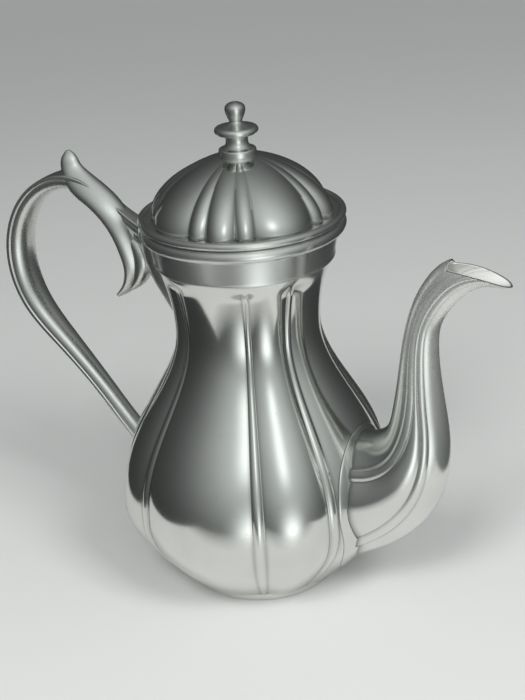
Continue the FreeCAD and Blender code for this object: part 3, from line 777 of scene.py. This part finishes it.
def spout_curves(at, grow):
    """Centre, depth direction, half depth and half width of the spout's sections at shares of its length."""
    ribs = natural_spline(spout_way(), SPOUT_RIBS, at) * MM
    upper, lower = ribs[:, 0:2] + SPOUT_START, ribs[:, 2:4] + SPOUT_START
    depth = upper - lower
    length = np.linalg.norm(depth, axis=1, keepdims=True)
    return (upper + lower) / 2.0, depth / length, length[:, 0] / 2.0 + grow, ribs[:, 4] + grow


def spout_places(at, angle, reach, grow):
    """Places on the spout's lobed surface: rows follow its length, columns go round it.

    A place is the section's centre plus its depth times cosine and its width times sine of the angle.
    """
    shape = at.shape
    centre, across, half_depth, half_width = spout_curves(at.ravel(), grow)
    turn = np.broadcast_to(np.radians(angle), shape).ravel()
    share = np.broadcast_to(reach, shape).ravel()
    inward = half_depth * share * np.cos(turn)
    x = centre[:, 0] + across[:, 0] * inward
    z = centre[:, 1] + across[:, 1] * inward
    y = half_width * share * np.sin(turn)
    return np.stack([x, y, z], axis=1).reshape(shape + (3,))


def reed_edges(grooves, reed_half):
    """Angles of the two edges of every reed round a section, closed by the first edge a full turn on."""
    edges = (grooves[:, None] + np.array([-reed_half, reed_half])).ravel()
    return np.append(edges, edges[0] + FULL_TURN)


def spout_turn(sizes, mark, at):
    """Angle round the section of lines marked at the root, at shares of the spout's length.

    From the root to the neck the grooves draw together on each side: the angle runs evenly from its mark to
    its place at the neck, and evenly between neighbouring edges of the reeds.
    """
    root = reed_edges(SPOUT_ROOT_GROOVES, sizes.reed_half)
    neck = reed_edges(SPOUT_NECK_GROOVES, sizes.neck_reed_half)
    return mark + np.clip(at / spout_neck(), 0.0, 1.0) * (np.interp(mark, root, neck) - mark)


def spout_marks(sizes):
    """Lines along the spout, as angles at its root, close together at the creases beside the reeds."""
    return lobe_angles(SPOUT_ROOT_GROOVES, sizes.reed_half, lobe_step=2.0, reed_steps=14)[None, :]


def spout_reach(sizes, mark, at):
    """Reach of the spout's lobes, whose grooves grow shallow from the neck to the mouth."""
    left_at_mouth = 0.3
    fade = np.interp(at, [0.0, spout_neck(), 1.0], [1.0, 1.0, left_at_mouth])
    return lobe_reach(mark, SPOUT_ROOT_GROOVES, sizes.groove_depth * fade, sizes.reed_half,
                      sizes.reed_rise * fade)


def spout_wall(sizes, mark, at, grow, lobed=1.0):
    """Places of lines along the spout at shares of its length, on its surface grown by a distance.

    A share of lobing below 1 makes the grooves shallower, down to a plain oval section at 0.
    """
    reach = 1.0 + lobed * (spout_reach(sizes, mark, at) - 1.0)
    return spout_places(at, spout_turn(sizes, mark, at), reach, grow)


def lip_height(x):
    """Height of the beak's mouth over a distance out: the parabola through its back, middle and tip."""
    points = np.array([LIP_BACK, LIP_MIDDLE, LIP_TIP]) * MM + SPOUT_START
    return np.polyval(np.polyfit(points[:, 0], points[:, 1], 2), x)


def crossing(at, value, row):
    """Share of the length in each column where a value passes nought between a row and the next."""
    column = np.arange(value.shape[1])
    before, after = value[row, column], value[row + 1, column]
    part = np.clip(before / (before - after + TINY), 0.0, 1.0)
    return at[row] + (at[row + 1] - at[row]) * part


def spout_ends(sizes, body, mark, grow, sink, lobed=1.0, fine=700):
    """Shares of the spout's length where each of its lines leaves the body and reaches the mouth.

    A line leaves the body after its last place more than a sink below the body's outside, on the lower half
    of the spout, and reaches the mouth before its first place past the lip's back and above the lip.
    """
    at = np.linspace(0.0, 1.0, fine)
    last_row = len(at) - 1
    places = spout_wall(sizes, mark, np.broadcast_to(at[:, None], (len(at), mark.shape[1])), grow, lobed)
    outside = above_body(body, places) + sink
    outside[at > 0.5] = 1.0
    last_sunk = last_row - np.argmax(outside[::-1] < 0.0, axis=0)
    start = crossing(at, outside, np.clip(last_sunk, 0, last_row - 1))
    back = BELLY_RADIUS + LIP_BACK[0] * MM
    cut = np.minimum(places[..., 0] - back, places[..., 2] - lip_height(places[..., 0]))
    first_open = np.clip(np.argmax(cut > 0.0, axis=0), 1, None)
    end = np.where(np.any(cut > 0.0, axis=0), crossing(at, cut, first_open - 1), 1.0)
    return start, end


def spout_finish_marks(sizes, body, mark, outer_at, grid):
    """Numbers at each point of the spout for its finish: painted shade, share of the inside, and wear.

    The painted shade is a bell curve at the belly and in the creases, which fade towards the mouth; wear
    rises evenly from halfway to the neck to a little past it; the inside starts on the lip.
    """
    neck = spout_neck()
    seam_width, crease_width = 1.6 * MM, 1.6
    crease_strength = [0.55, 0.35, 0.1]
    wear_start, wear_end = 0.5 * neck, 1.3 * neck
    lip_rows_outside, lip_rows_between = 2, 4
    row = np.arange(len(grid))[:, None] - len(outer_at)
    inside = np.clip((row - lip_rows_outside) / lip_rows_between, 0.0, 1.0) + 0.0 * mark
    none = np.zeros((len(grid) - len(outer_at), mark.shape[1]))
    # Painted shade in the creases beside the reeds and at the seam with the belly
    crease = lobe_hollow(mark[0], SPOUT_ROOT_GROOVES, sizes.reed_half, crease_width)
    strength = np.concatenate([np.interp(outer_at, [0.0, neck, 1.0], crease_strength), none])
    seam = np.exp(-(above_body(body, grid) / seam_width) ** 2)
    wear = np.concatenate([np.interp(outer_at, [wear_start, wear_end], [0.0, 1.0]), none])
    return {"hollow": np.maximum(seam, crease * strength), "inside": inside, "wear": wear}


def build_spout(sizes, body):
    """Hollow swan-neck: outer wall from the belly to the mouth, round lip, and inner wall back down.

    The lip runs straight across the wall and bulges ahead as half an oval.
    """
    sink, bulge = 0.35 * MM, 0.5 * MM
    outer_rows, lip_rows, inner_rows, rows_back = 150, 7, 90, 3
    mark = spout_marks(sizes)
    start, end = spout_ends(sizes, body, mark, 0.0, sink)
    outer_at = start + (end - start) * np.linspace(0.0, 1.0, outer_rows)[:, None]
    outer = spout_wall(sizes, mark, outer_at, 0.0)
    start, end = spout_ends(sizes, body, mark, -sizes.wall, sink)
    inner_at = start + (end - start) * np.linspace(1.0, 0.0, inner_rows)[:, None]
    inner = spout_wall(sizes, mark, inner_at, -sizes.wall)
    ahead = outer[-1] - outer[-1 - rows_back]
    ahead /= np.linalg.norm(ahead, axis=-1, keepdims=True) + TINY
    share = np.linspace(0.0, 1.0, lip_rows + 2)[1:-1, None, None]
    lip = outer[-1] * (1.0 - share) + inner[0] * share + ahead * np.sqrt(share * (1.0 - share)) * bulge
    grid = np.concatenate([outer, lip, inner])
    return grid_mesh("spout", grid, marks=spout_finish_marks(sizes, body, mark, outer_at, grid))


def build_flange(sizes, body):
    """Thin band on the belly between the spout's root and the root of a wider spout, with a round back.

    Its back rises as the root of 1 less a power of the distance from its middle, and its underside is sunk.
    """
    tuck, edge_sink, under_sink, seam_height = 0.3 * MM, 0.15 * MM, 0.5 * MM, 0.5 * MM
    back_rows, under_rows, power = 15, 3, 5
    mark = spout_marks(sizes)
    roots = []
    for grow, lobed in ((-tuck, 1.0), (sizes.band_width, 0.0)):
        start, _ = spout_ends(sizes, body, mark, grow, 0.0, lobed)
        places = spout_wall(sizes, mark, start[None, :], grow, lobed)[0]
        roots.append((angle_of(places), places[:, 2]))
    back = np.linspace(0.0, 1.0, back_rows)
    under = np.linspace(1.0, 0.0, under_rows + 2)[1:-1]
    rise = np.sqrt(1.0 - np.abs(2.0 * back - 1.0) ** power)
    lift = np.concatenate([rise * sizes.band_height - edge_sink, np.full(under_rows, -under_sink)])[:, None]
    share = np.concatenate([back, under])[:, None]
    angle, height = (inner + (outer - inner) * share for inner, outer in zip(*roots))
    mesh = grid_mesh("root_band", round_places(body_surface(body, angle, height) + lift, angle, height))
    # Painted shade along the band's foot, where it meets the belly
    proud = above_body(body, points_of(mesh))
    add_attribute(mesh, "hollow", np.clip(1.0 - proud / seam_height, 0.0, 1.0))
    return mesh


def strap_section(back_points=41):
    """Closed outline of the strap: a thin plate outside, a fine groove by its edges, half an oval inside."""
    plate = np.array(STRAP_PLATE)
    start, half = STRAP_BACK
    turn = np.linspace(0.0, np.pi, back_points)
    back = plain_corners(np.stack([start - (1.0 + start) * np.sin(turn), half * np.cos(turn)], axis=1))
    mirrored = plate[:0:-1] * np.array([1.0, -1.0, 1.0])
    return softened(np.concatenate([plate, back, mirrored]), steps=7) * np.array([-1.0, 1.0])


def oval_section(skew=0.0, count=96):
    """Closed outline of an oval: cosine deep and sine wide, its widest place behind the middle by a skew."""
    turn = np.linspace(0.0, 2.0 * np.pi, count, endpoint=False)
    return np.stack([np.cos(turn), np.sin(turn - skew * np.sin(turn))], axis=1)


def swept_bar(name, ribs, section, steps, level=False):
    """Bar along the spline through its ribs: the section scaled to each rib, both flat ends closed.

    Rows stand square to the spline, or lie level where asked.
    """
    places = np.column_stack([-ribs[:, 0], ribs[:, 1]])
    at = (1.0 - np.cos(np.linspace(0.0, np.pi, steps))) / 2.0
    curve = natural_spline(along(places), np.column_stack([places, ribs[:, 2:]]), at) * MM
    tangent = np.gradient(curve[:, :2], at, axis=0)
    tangent /= np.linalg.norm(tangent, axis=1, keepdims=True)
    if level:
        tangent = np.broadcast_to(np.array([0.0, 1.0]), tangent.shape)
    outward = np.column_stack([-tangent[:, 1], tangent[:, 0]])
    depth = curve[:, 2:3] * section[:, 0]
    x = curve[:, :1] + outward[:, :1] * depth
    z = curve[:, 1:2] + outward[:, 1:2] * depth
    y = curve[:, 3:4] * section[:, 1]
    grid = np.stack([x, y, z], axis=-1)
    first, last = (np.broadcast_to(row.mean(axis=0), grid[:1].shape) for row in (grid[0], grid[-1]))
    return grid_mesh(name, np.concatenate([first, grid, last]), close_rows=False)


def pot_core(body, rows=120):
    """Filled pot a little smaller than its outside, to trim what is soldered to it."""
    sunk, below_girth, gap = 0.4 * MM, 20.0 * MM, 0.1 * MM
    height = np.linspace(GIRTH_HEIGHT - below_girth, BODY_TOP - gap, rows)
    wall = np.column_stack([crest_radius(body, height) - sunk, height])
    collar = [(body.collar_foot - sunk, BODY_TOP), (COLLAR_TOP_RADIUS - sunk, COLLAR_TOP), (0.0, COLLAR_TOP)]
    crest, height = np.split(np.concatenate([[(0.0, height[0])], wall, collar]), 2, axis=1)
    angle = lobe_angles(lobe_grooves(body.wide_lobe), body.reed_half, lobe_step=3.0, reed_steps=4)
    reach = np.where(height < BODY_TOP - gap / 2.0, body_reach(body, angle, height), 1.0)
    return grid_mesh("core", round_places(crest * reach, angle, height), close_rows=False)


def build_handle(body):
    """Ear handle in one casting: strap, leaf with spur and scroll, bud and tongue, trimmed at the pot."""
    strap = swept_bar("handle_casting", STRAP_RIBS, strap_section(), steps=200)
    leaf = swept_bar("leaf", LEAF_RIBS, oval_section(LEAF_SKEW), steps=130)
    bud = swept_bar("bud", BUD_RIBS, oval_section(), steps=60)
    tongue = swept_bar("tongue", TONGUE_RIBS, oval_section(), steps=60, level=True)
    joined = carved(strap, "UNION", leaf, bud, tongue)
    return sharpened(carved(joined, "DIFFERENCE", pot_core(body)), SHARP_HANDLE)


class Value:
    """One output of a shader node; sums on it add Math nodes."""

    def __init__(self, nodes, socket):
        self.nodes = nodes
        self.socket = socket

    def maths(self, operation, first, second):
        """Adds a Math node."""
        return self.nodes.node("ShaderNodeMath", {"operation": operation}, {0: first, 1: second})

    def __add__(self, other):
        return self.maths("ADD", self, other)

    __radd__ = __add__

    def __sub__(self, other):
        return self.maths("SUBTRACT", self, other)

    def __rsub__(self, other):
        return self.maths("SUBTRACT", other, self)

    def __mul__(self, other):
        return self.maths("MULTIPLY", self, other)

    __rmul__ = __mul__

    def __pow__(self, other):
        return self.maths("POWER", self, other)

    def __rpow__(self, other):
        return self.maths("POWER", other, self)


class Nodes:
    """A node tree under construction: one method adds any node."""

    def __init__(self, tree):
        self.tree = tree

    def node(self, kind, settings, sockets, output=0):
        """Adds a node of a type, sets its settings, then the values or links of its sockets."""
        made = self.tree.nodes.new(kind)
        for name, value in settings.items():
            setattr(made, name, value)
        for key, value in sockets.items():
            self.feed(made.inputs[key], value)
        return Value(self, made.outputs[output])

    def feed(self, socket, value):
        """Links a socket to a value, or sets it to a number."""
        if isinstance(value, Value):
            self.tree.links.new(value.socket, socket)
        else:
            socket.default_value = value

    def blend(self, share, first, second):
        """Colour between two colours."""
        return self.node("ShaderNodeMix", {"data_type": "RGBA"}, {0: share, 6: first, 7: second}, 2)

    def facing(self, vector, direction):
        """How far a vector reaches in a direction."""
        return self.node("ShaderNodeVectorMath", {"operation": "DOT_PRODUCT"},
                         {0: vector, 1: tuple(direction)}, "Value")


class Finish(Nodes):
    """A material under construction, with short cuts to the nodes that it uses."""

    def __init__(self, name):
        self.material = bpy.data.materials.new(name)
        self.material.use_nodes = True
        super().__init__(self.material.node_tree)
        self.shader = self.tree.nodes["Principled BSDF"]

    def shade(self, **values):
        """Feeds the shader's sockets, named with an underscore for each space."""
        for name, value in values.items():
            self.feed(self.shader.inputs[name.replace("_", " ")], value)
        return self.material

    def places(self, stretch=(1.0, 1.0, 1.0)):
        """Object coordinates, stretched along each axis."""
        coordinates = self.node("ShaderNodeTexCoord", {}, {}, "Object")
        return self.node("ShaderNodeMapping", {}, {"Vector": coordinates, "Scale": stretch})

    def round_axis(self):
        """Distance from the pot's axis, and height."""
        parts = self.node("ShaderNodeSeparateXYZ", {}, {0: self.places()}).socket.node.outputs
        across, deep, up = (Value(self, part) for part in parts)
        return (across * across + deep * deep) ** 0.5, up

    def noise(self, scale, detail, stretch=(1.0, 1.0, 1.0)):
        """Soft noise from 0 to 1 with spots about 1/scale metres wide."""
        return self.node("ShaderNodeTexNoise", {}, {"Vector": self.places(stretch), "Scale": scale,
                                                    "Detail": detail})

    def limit(self, value, low, high):
        """Value spread from low..high to 0..1 and held there."""
        return self.node("ShaderNodeMapRange", {}, {"Value": value, "From Min": low, "From Max": high})

    def attribute(self, name):
        """Number kept at the points of a mesh, nought where the mesh has none."""
        return self.node("ShaderNodeAttribute", {"attribute_name": name}, {}, "Fac")

    def bump(self, height, distance, **onto):
        """Normal tilted by a height field over a distance in metres, on top of another normal if given."""
        return self.node("ShaderNodeBump", {},
                         {"Height": height, "Distance": distance, "Strength": 1.0, **onto})


def rubbed_scratches(finish):
    """Fine hand-rubbed scratches in two directions, from 0 to 1."""
    upright = finish.noise(scale=60.0, detail=2.0, stretch=(22.0, 22.0, 1.0))
    level = finish.noise(scale=60.0, detail=2.0, stretch=(1.5, 1.5, 24.0))
    return finish.limit(upright * 0.6 + level * 0.4, low=0.35, high=0.65)


def cast_pewter(name, colours, gloss):
    """Cast pewter with a soft gloss: smudges, rubbed scratches, slight waves, painted shade in the grooves
    and seams.

    Roughness is the gloss plus a share of each flaw; the matte inside and the worn neck are less metallic.
    """
    finish = Finish(name)
    hollow, inside, wear = (finish.attribute(mark) for mark in ("hollow", "inside", "wear"))
    smudge = finish.limit(finish.noise(scale=28.0, detail=4.0), low=0.3, high=0.7)
    speck = finish.limit(finish.noise(scale=420.0, detail=2.0), low=0.66, high=0.78)
    scratch = rubbed_scratches(finish)
    film = finish.blend(smudge, tuple(colours.pewter), tuple(colours.dull))
    # Painted shade from the hollow mark in the creases and at the seams, with faint random dark specks
    tarnish = finish.limit(hollow * 0.9 + speck * 0.12, low=0.0, high=1.0)
    outside = finish.blend(tarnish, film, tuple(colours.crease_shade_and_specks))
    polish = smudge * 0.05 + scratch * 0.04 + speck * 0.06 + gloss
    waves = finish.bump(finish.noise(scale=34.0, detail=1.0), 0.12 * MM)
    return finish.shade(
        Base_Color=finish.blend(inside, outside, tuple(colours.pale)),
        Roughness=polish + hollow * 0.14 + inside * 0.35 + wear * 0.16,
        Metallic=1.0 - inside * 0.85 - wear * 0.25,
        Normal=finish.bump(scratch + speck * 0.5, 0.0015 * MM, Normal=waves))


def turned_pewter(name, colours):
    """Pewter turned on a lathe: fine rings round the axis under a soft polish, which draw out its glints."""
    finish = Finish(name)
    radius, up = finish.round_axis()
    ring = finish.node("ShaderNodeTexNoise", {"noise_dimensions": "1D"},
                       {"W": radius + up, "Scale": 1400.0, "Detail": 3.0})
    smudge = finish.limit(finish.noise(scale=34.0, detail=4.0), low=0.3, high=0.7)
    return finish.shade(
        Base_Color=finish.blend(smudge, tuple(colours.bright), tuple(colours.pewter)),
        Roughness=smudge * 0.06 + ring * 0.06 + 0.18,
        Metallic=1.0,
        Normal=finish.bump(ring, 0.004 * MM),
        Anisotropic=0.95,
        Anisotropic_Rotation=0.25)


def darker(colour, share):
    """Colour times a share."""
    return tuple(part * share for part in colour[:3]) + (1.0,)


def fixing_brass(name, colours):
    """Plain machined brass, a little dull and mottled."""
    finish = Finish(name)
    mottle = finish.noise(scale=260.0, detail=4.0)
    return finish.shade(
        Base_Color=finish.blend(mottle, tuple(colours.brass), darker(colours.brass, 0.7)),
        Roughness=mottle * 0.2 + 0.22,
        Metallic=1.0,
        Normal=finish.bump(mottle, 0.03 * MM))


FINISHES = {
    "cast_pewter": lambda name, colours: cast_pewter(name, colours, gloss=0.08),
    "handle_pewter": lambda name, colours: cast_pewter(name, colours, gloss=0.24),
    "turned_pewter": turned_pewter,
    "fixing_brass": fixing_brass,
}


def finish_for(slot, colours):
    """Finish of one of the record's material slots, made the first time it is asked for."""
    name = slot + "_finish"
    return bpy.data.materials.get(name) or FINISHES[slot](name, colours)


def bearing(azimuth, elevation):
    """Direction from the pot at a turn and a height in degrees."""
    turn, lift = math.radians(azimuth), math.radians(elevation)
    return Vector((math.sin(turn) * math.cos(lift), -math.cos(turn) * math.cos(lift), math.sin(lift)))


def flat_sheet(name, left, right, near, far, height):
    """Level sheet between two distances across and two along."""
    corners = [(left, near, height), (right, near, height), (right, far, height), (left, far, height)]
    mesh = bpy.data.meshes.new(name)
    mesh.from_pydata(corners, [], [(0, 1, 2, 3)])
    return mesh


def floor_finish(name, colours):
    """Matte pale floor with a faint weave, which turns into the backdrop's own shade far from the pot."""
    finish = Finish(name)
    distance, _ = finish.round_axis()
    far = finish.limit(distance, *FLOOR_FADE)
    weave = finish.noise(scale=900.0, detail=2.0)
    cloud = finish.noise(scale=3.0, detail=2.0)
    pale = finish.blend(cloud, tuple(colours.floor), darker(colours.floor, 0.96))
    finish.shade(
        Base_Color=finish.blend(far, pale, BLACK),
        Emission_Color=finish.blend(far, BLACK, tuple(colours.backdrop)),
        Emission_Strength=1.0,
        Roughness=0.9,
        Specular_IOR_Level=0.1,
        Normal=finish.bump(weave, 0.05 * MM))
    return finish


def near_floor_finish(stage, colours):
    """Floor's finish that thins out to nothing across the near sheet's front edge."""
    finish = floor_finish("near_floor", colours)
    ahead = finish.facing(finish.places(), bearing(stage.azimuth, 0.0))
    past = finish.limit(ahead, stage.near_edge - stage.near_fade, stage.near_edge + stage.near_fade)
    finish.shade(Alpha=1.0 - past)
    return finish


def add_floor(stage, colours):
    """Level floor that the camera sees, and a near sheet of it that only the pot's polish sees.

    Past the sheet the polish sees the dim room, which has no hard horizon.
    """
    front = stage.near_edge + stage.near_fade
    seen = flat_sheet("floor", -FLOOR_HALF, FLOOR_HALF, -FLOOR_HALF, FLOOR_HALF, 0.0)
    mirrored = flat_sheet("near_floor", -NEAR_HALF, NEAR_HALF, -front, NEAR_BEHIND, NEAR_LIFT)
    finishes = floor_finish("pale_floor", colours), near_floor_finish(stage, colours)
    for mesh, finish in zip((seen, mirrored), finishes):
        mesh.transform(Matrix.Rotation(math.radians(stage.azimuth), 4, "Z"))
        mesh.materials.append(finish.material)
        sheet = bpy.data.objects.new(mesh.name, mesh)
        bpy.context.scene.collection.objects.link(sheet)
        sheet.visible_glossy = mesh is mirrored
        sheet.visible_camera = mesh is seen
        sheet.visible_diffuse = mesh is seen
        sheet.visible_shadow = mesh is seen


def add_lamp(name, power, azimuth, elevation):
    """Square soft lamp that looks at the pot and lights the floor; polish sees the room's lights instead."""
    lamp = bpy.data.lights.new(name, "AREA")
    lamp.energy = power
    lamp.size = LAMP_SIDE
    away = bearing(azimuth, elevation)
    holder = bpy.data.objects.new(name, lamp)
    holder.location = away * LAMP_DISTANCE + Vector((0.0, 0.0, LAMP_AIM))
    holder.rotation_euler = away.to_track_quat("Z", "Y").to_euler()
    holder.visible_glossy = False
    bpy.context.scene.collection.objects.link(holder)


def add_room(stage, colours):
    """Dim room with soft light in front, beside the camera, low down and overhead, before a plain backdrop.

    Each light falls off with the angle from its middle as a bell curve: e to a sharpness times the cosine
    of that angle less 1.
    """
    world = bpy.data.worlds.new("room")
    world.use_nodes = True
    room = Nodes(world.node_tree)
    direction = room.node("ShaderNodeTexCoord", {}, {}, "Generated")
    strength = stage.room
    for light, (azimuth, elevation, sharpness) in ((stage.front_light, FRONT_LIGHT),
                                                   (stage.near_light, NEAR_LIGHT),
                                                   (stage.low_light, LOW_LIGHT),
                                                   (stage.sky_light, SKY_LIGHT)):
        cosine = room.facing(direction, bearing(azimuth, elevation))
        strength = strength + math.e ** ((cosine - 1.0) * sharpness) * light
    seen = room.node("ShaderNodeLightPath", {}, {}, "Is Camera Ray")
    background = world.node_tree.nodes["Background"]
    room.feed(background.inputs["Color"], room.blend(seen, ROOM_TINT, tuple(colours.backdrop)))
    room.feed(background.inputs["Strength"], strength * (1.0 - seen) + seen)
    bpy.context.scene.world = world


def add_camera(stage):
    """Camera at the picture's angle: it looks at a point on the pot's axis, then rolls about its view."""
    lift, roll = math.radians(stage.elevation), math.radians(stage.roll)
    forward = Vector((0.0, math.cos(lift), -math.sin(lift)))
    up = Vector((0.0, math.sin(lift), math.cos(lift)))
    right = Vector((1.0, 0.0, 0.0))
    turned_right = right * math.cos(roll) + up * math.sin(roll)
    turned_up = up * math.cos(roll) - right * math.sin(roll)
    matrix = Matrix((turned_right, turned_up, -forward)).transposed().to_4x4()
    matrix.translation = Vector((0.0, 0.0, stage.aim)) - forward * stage.distance
    camera = bpy.data.objects.new("camera", bpy.data.cameras.new("camera"))
    camera.data.lens = stage.lens
    camera.data.shift_x, camera.data.shift_y = CAMERA_SHIFT
    camera.data.clip_start = 10.0 * MM
    camera.matrix_world = Matrix.Rotation(math.radians(stage.azimuth), 4, "Z") @ matrix
    bpy.context.scene.collection.objects.link(camera)
    bpy.context.scene.camera = camera


class POT_OT_body(Operator):
    """Build the lobed body with its strainer holes"""
    bl_idname = "coffee_pot.body"
    bl_label = "Body"

    def execute(self, context):
        scene = context.scene
        mesh = build_body(scene.pot_body)
        mesh = carved(mesh, "DIFFERENCE", strainer_drills(scene.pot_spout))
        mark_body_hollows(scene.pot_body, mesh)
        put_piece(sharpened(mesh, SHARP_WALL), "pot", "cast_pewter", scene.pot_colours,
                  "body_lower", "body_upper")
        return {"FINISHED"}


class POT_OT_turned_rings(Operator):
    """Build the foot plate, the collar and the mouth rim"""
    bl_idname = "coffee_pot.turned_rings"
    bl_label = "Foot, Collar and Rim"

    def execute(self, context):
        scene = context.scene
        for mesh, node in ((build_foot_plate(), "base_plate"), (build_collar(scene.pot_body), "collar_band"),
                           (build_mouth_rim(scene.pot_body), "mouth_rim")):
            put_piece(sharpened(mesh, SHARP_RING), "pot", "turned_pewter", scene.pot_colours, node)
        return {"FINISHED"}


class POT_OT_spout(Operator):
    """Build the hollow spout and the band round its root"""
    bl_idname = "coffee_pot.spout"
    bl_label = "Spout"

    def execute(self, context):
        scene = context.scene
        spout = sharpened(build_spout(scene.pot_spout, scene.pot_body), SHARP_WALL)
        put_piece(spout, "pot", "cast_pewter", scene.pot_colours, "spout_left", "spout_right")
        band = build_flange(scene.pot_spout, scene.pot_body)
        put_piece(band, "pot", "cast_pewter", scene.pot_colours, "spout_flange")
        return {"FINISHED"}


class POT_OT_handle(Operator):
    """Build the ear handle with its leaf, scroll and tongue"""
    bl_idname = "coffee_pot.handle"
    bl_label = "Handle"

    def execute(self, context):
        scene = context.scene
        put_piece(build_handle(scene.pot_body), "pot", "handle_pewter", scene.pot_colours, "handle")
        return {"FINISHED"}


class POT_OT_lid(Operator):
    """Build the dome, the shelf and the ring of the lid"""
    bl_idname = "coffee_pot.lid"
    bl_label = "Lid"

    def execute(self, context):
        scene = context.scene
        dome = build_dome(scene.pot_lid, scene.pot_body.wide_lobe)
        put_piece(dome, "lid", "cast_pewter", scene.pot_colours, "lid_dome")
        for build, node in ((build_lid_shelf, "lid_rim"), (build_bezel, "lid_bezel")):
            ring = sharpened(build(scene.pot_lid), SHARP_RING)
            put_piece(ring, "lid", "turned_pewter", scene.pot_colours, node)
        return {"FINISHED"}


class POT_OT_knob(Operator):
    """Build the turned knob"""
    bl_idname = "coffee_pot.knob"
    bl_label = "Knob"

    def execute(self, context):
        scene = context.scene
        put_piece(build_knob(scene.pot_lid), "lid", "turned_pewter", scene.pot_colours, "finial")
        return {"FINISHED"}


class POT_OT_fixings(Operator):
    """Finish the washer and the nut under the knob"""
    bl_idname = "coffee_pot.fixings"
    bl_label = "Washer and Nut"

    def execute(self, context):
        brass = finish_for("fixing_brass", context.scene.pot_colours)
        for node in ("finial_washer", "finial_nut"):
            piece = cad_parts[node]
            piece.data.materials.clear()
            piece.data.materials.append(brass)
        return {"FINISHED"}


class POT_OT_stage(Operator):
    """Set the floor, the lamps, the room and the camera"""
    bl_idname = "coffee_pot.stage"
    bl_label = "Stage"

    def execute(self, context):
        scene = context.scene
        stage = scene.pot_stage
        add_floor(stage, scene.pot_colours)
        add_lamp("key", stage.key_power, *KEY_PLACE)
        add_lamp("second", stage.second_power, *SECOND_PLACE)
        add_room(stage, scene.pot_colours)
        add_camera(stage)
        scene.view_settings.view_transform = "Standard"
        return {"FINISHED"}


OPERATORS = (POT_OT_body, POT_OT_turned_rings, POT_OT_spout, POT_OT_handle, POT_OT_lid, POT_OT_knob,
             POT_OT_fixings, POT_OT_stage)


class POT_PT_sidebar(Panel):
    """Lists the pot's pieces in the 3D view's sidebar"""
    bl_idname = "POT_PT_sidebar"
    bl_label = "Coffee Pot"
    bl_space_type = "VIEW_3D"
    bl_region_type = "UI"
    bl_category = "Coffee Pot"

    def draw(self, context):
        for operator in OPERATORS:
            self.layout.operator(operator.bl_idname)


GROUPS = {"pot_body": BodySizes, "pot_spout": SpoutSizes, "pot_lid": LidSizes, "pot_colours": FinishColours,
          "pot_stage": StageSizes}
CLASSES = tuple(GROUPS.values()) + OPERATORS + (POT_PT_sidebar,)


def register():
    """Registers the classes and hangs the settings on the scene."""
    for cls in CLASSES:
        bpy.utils.register_class(cls)
    for name, group in GROUPS.items():
        setattr(bpy.types.Scene, name, PointerProperty(type=group))


def unregister():
    """Takes the settings and the classes away again."""
    for name in GROUPS:
        delattr(bpy.types.Scene, name)
    for cls in reversed(CLASSES):
        bpy.utils.unregister_class(cls)


def main():
    """Builds every piece in order."""
    register()
    for operator in OPERATORS:
        group, name = operator.bl_idname.split(".")
        getattr(getattr(bpy.ops, group), name)()


if __name__ == "__main__":
    main()
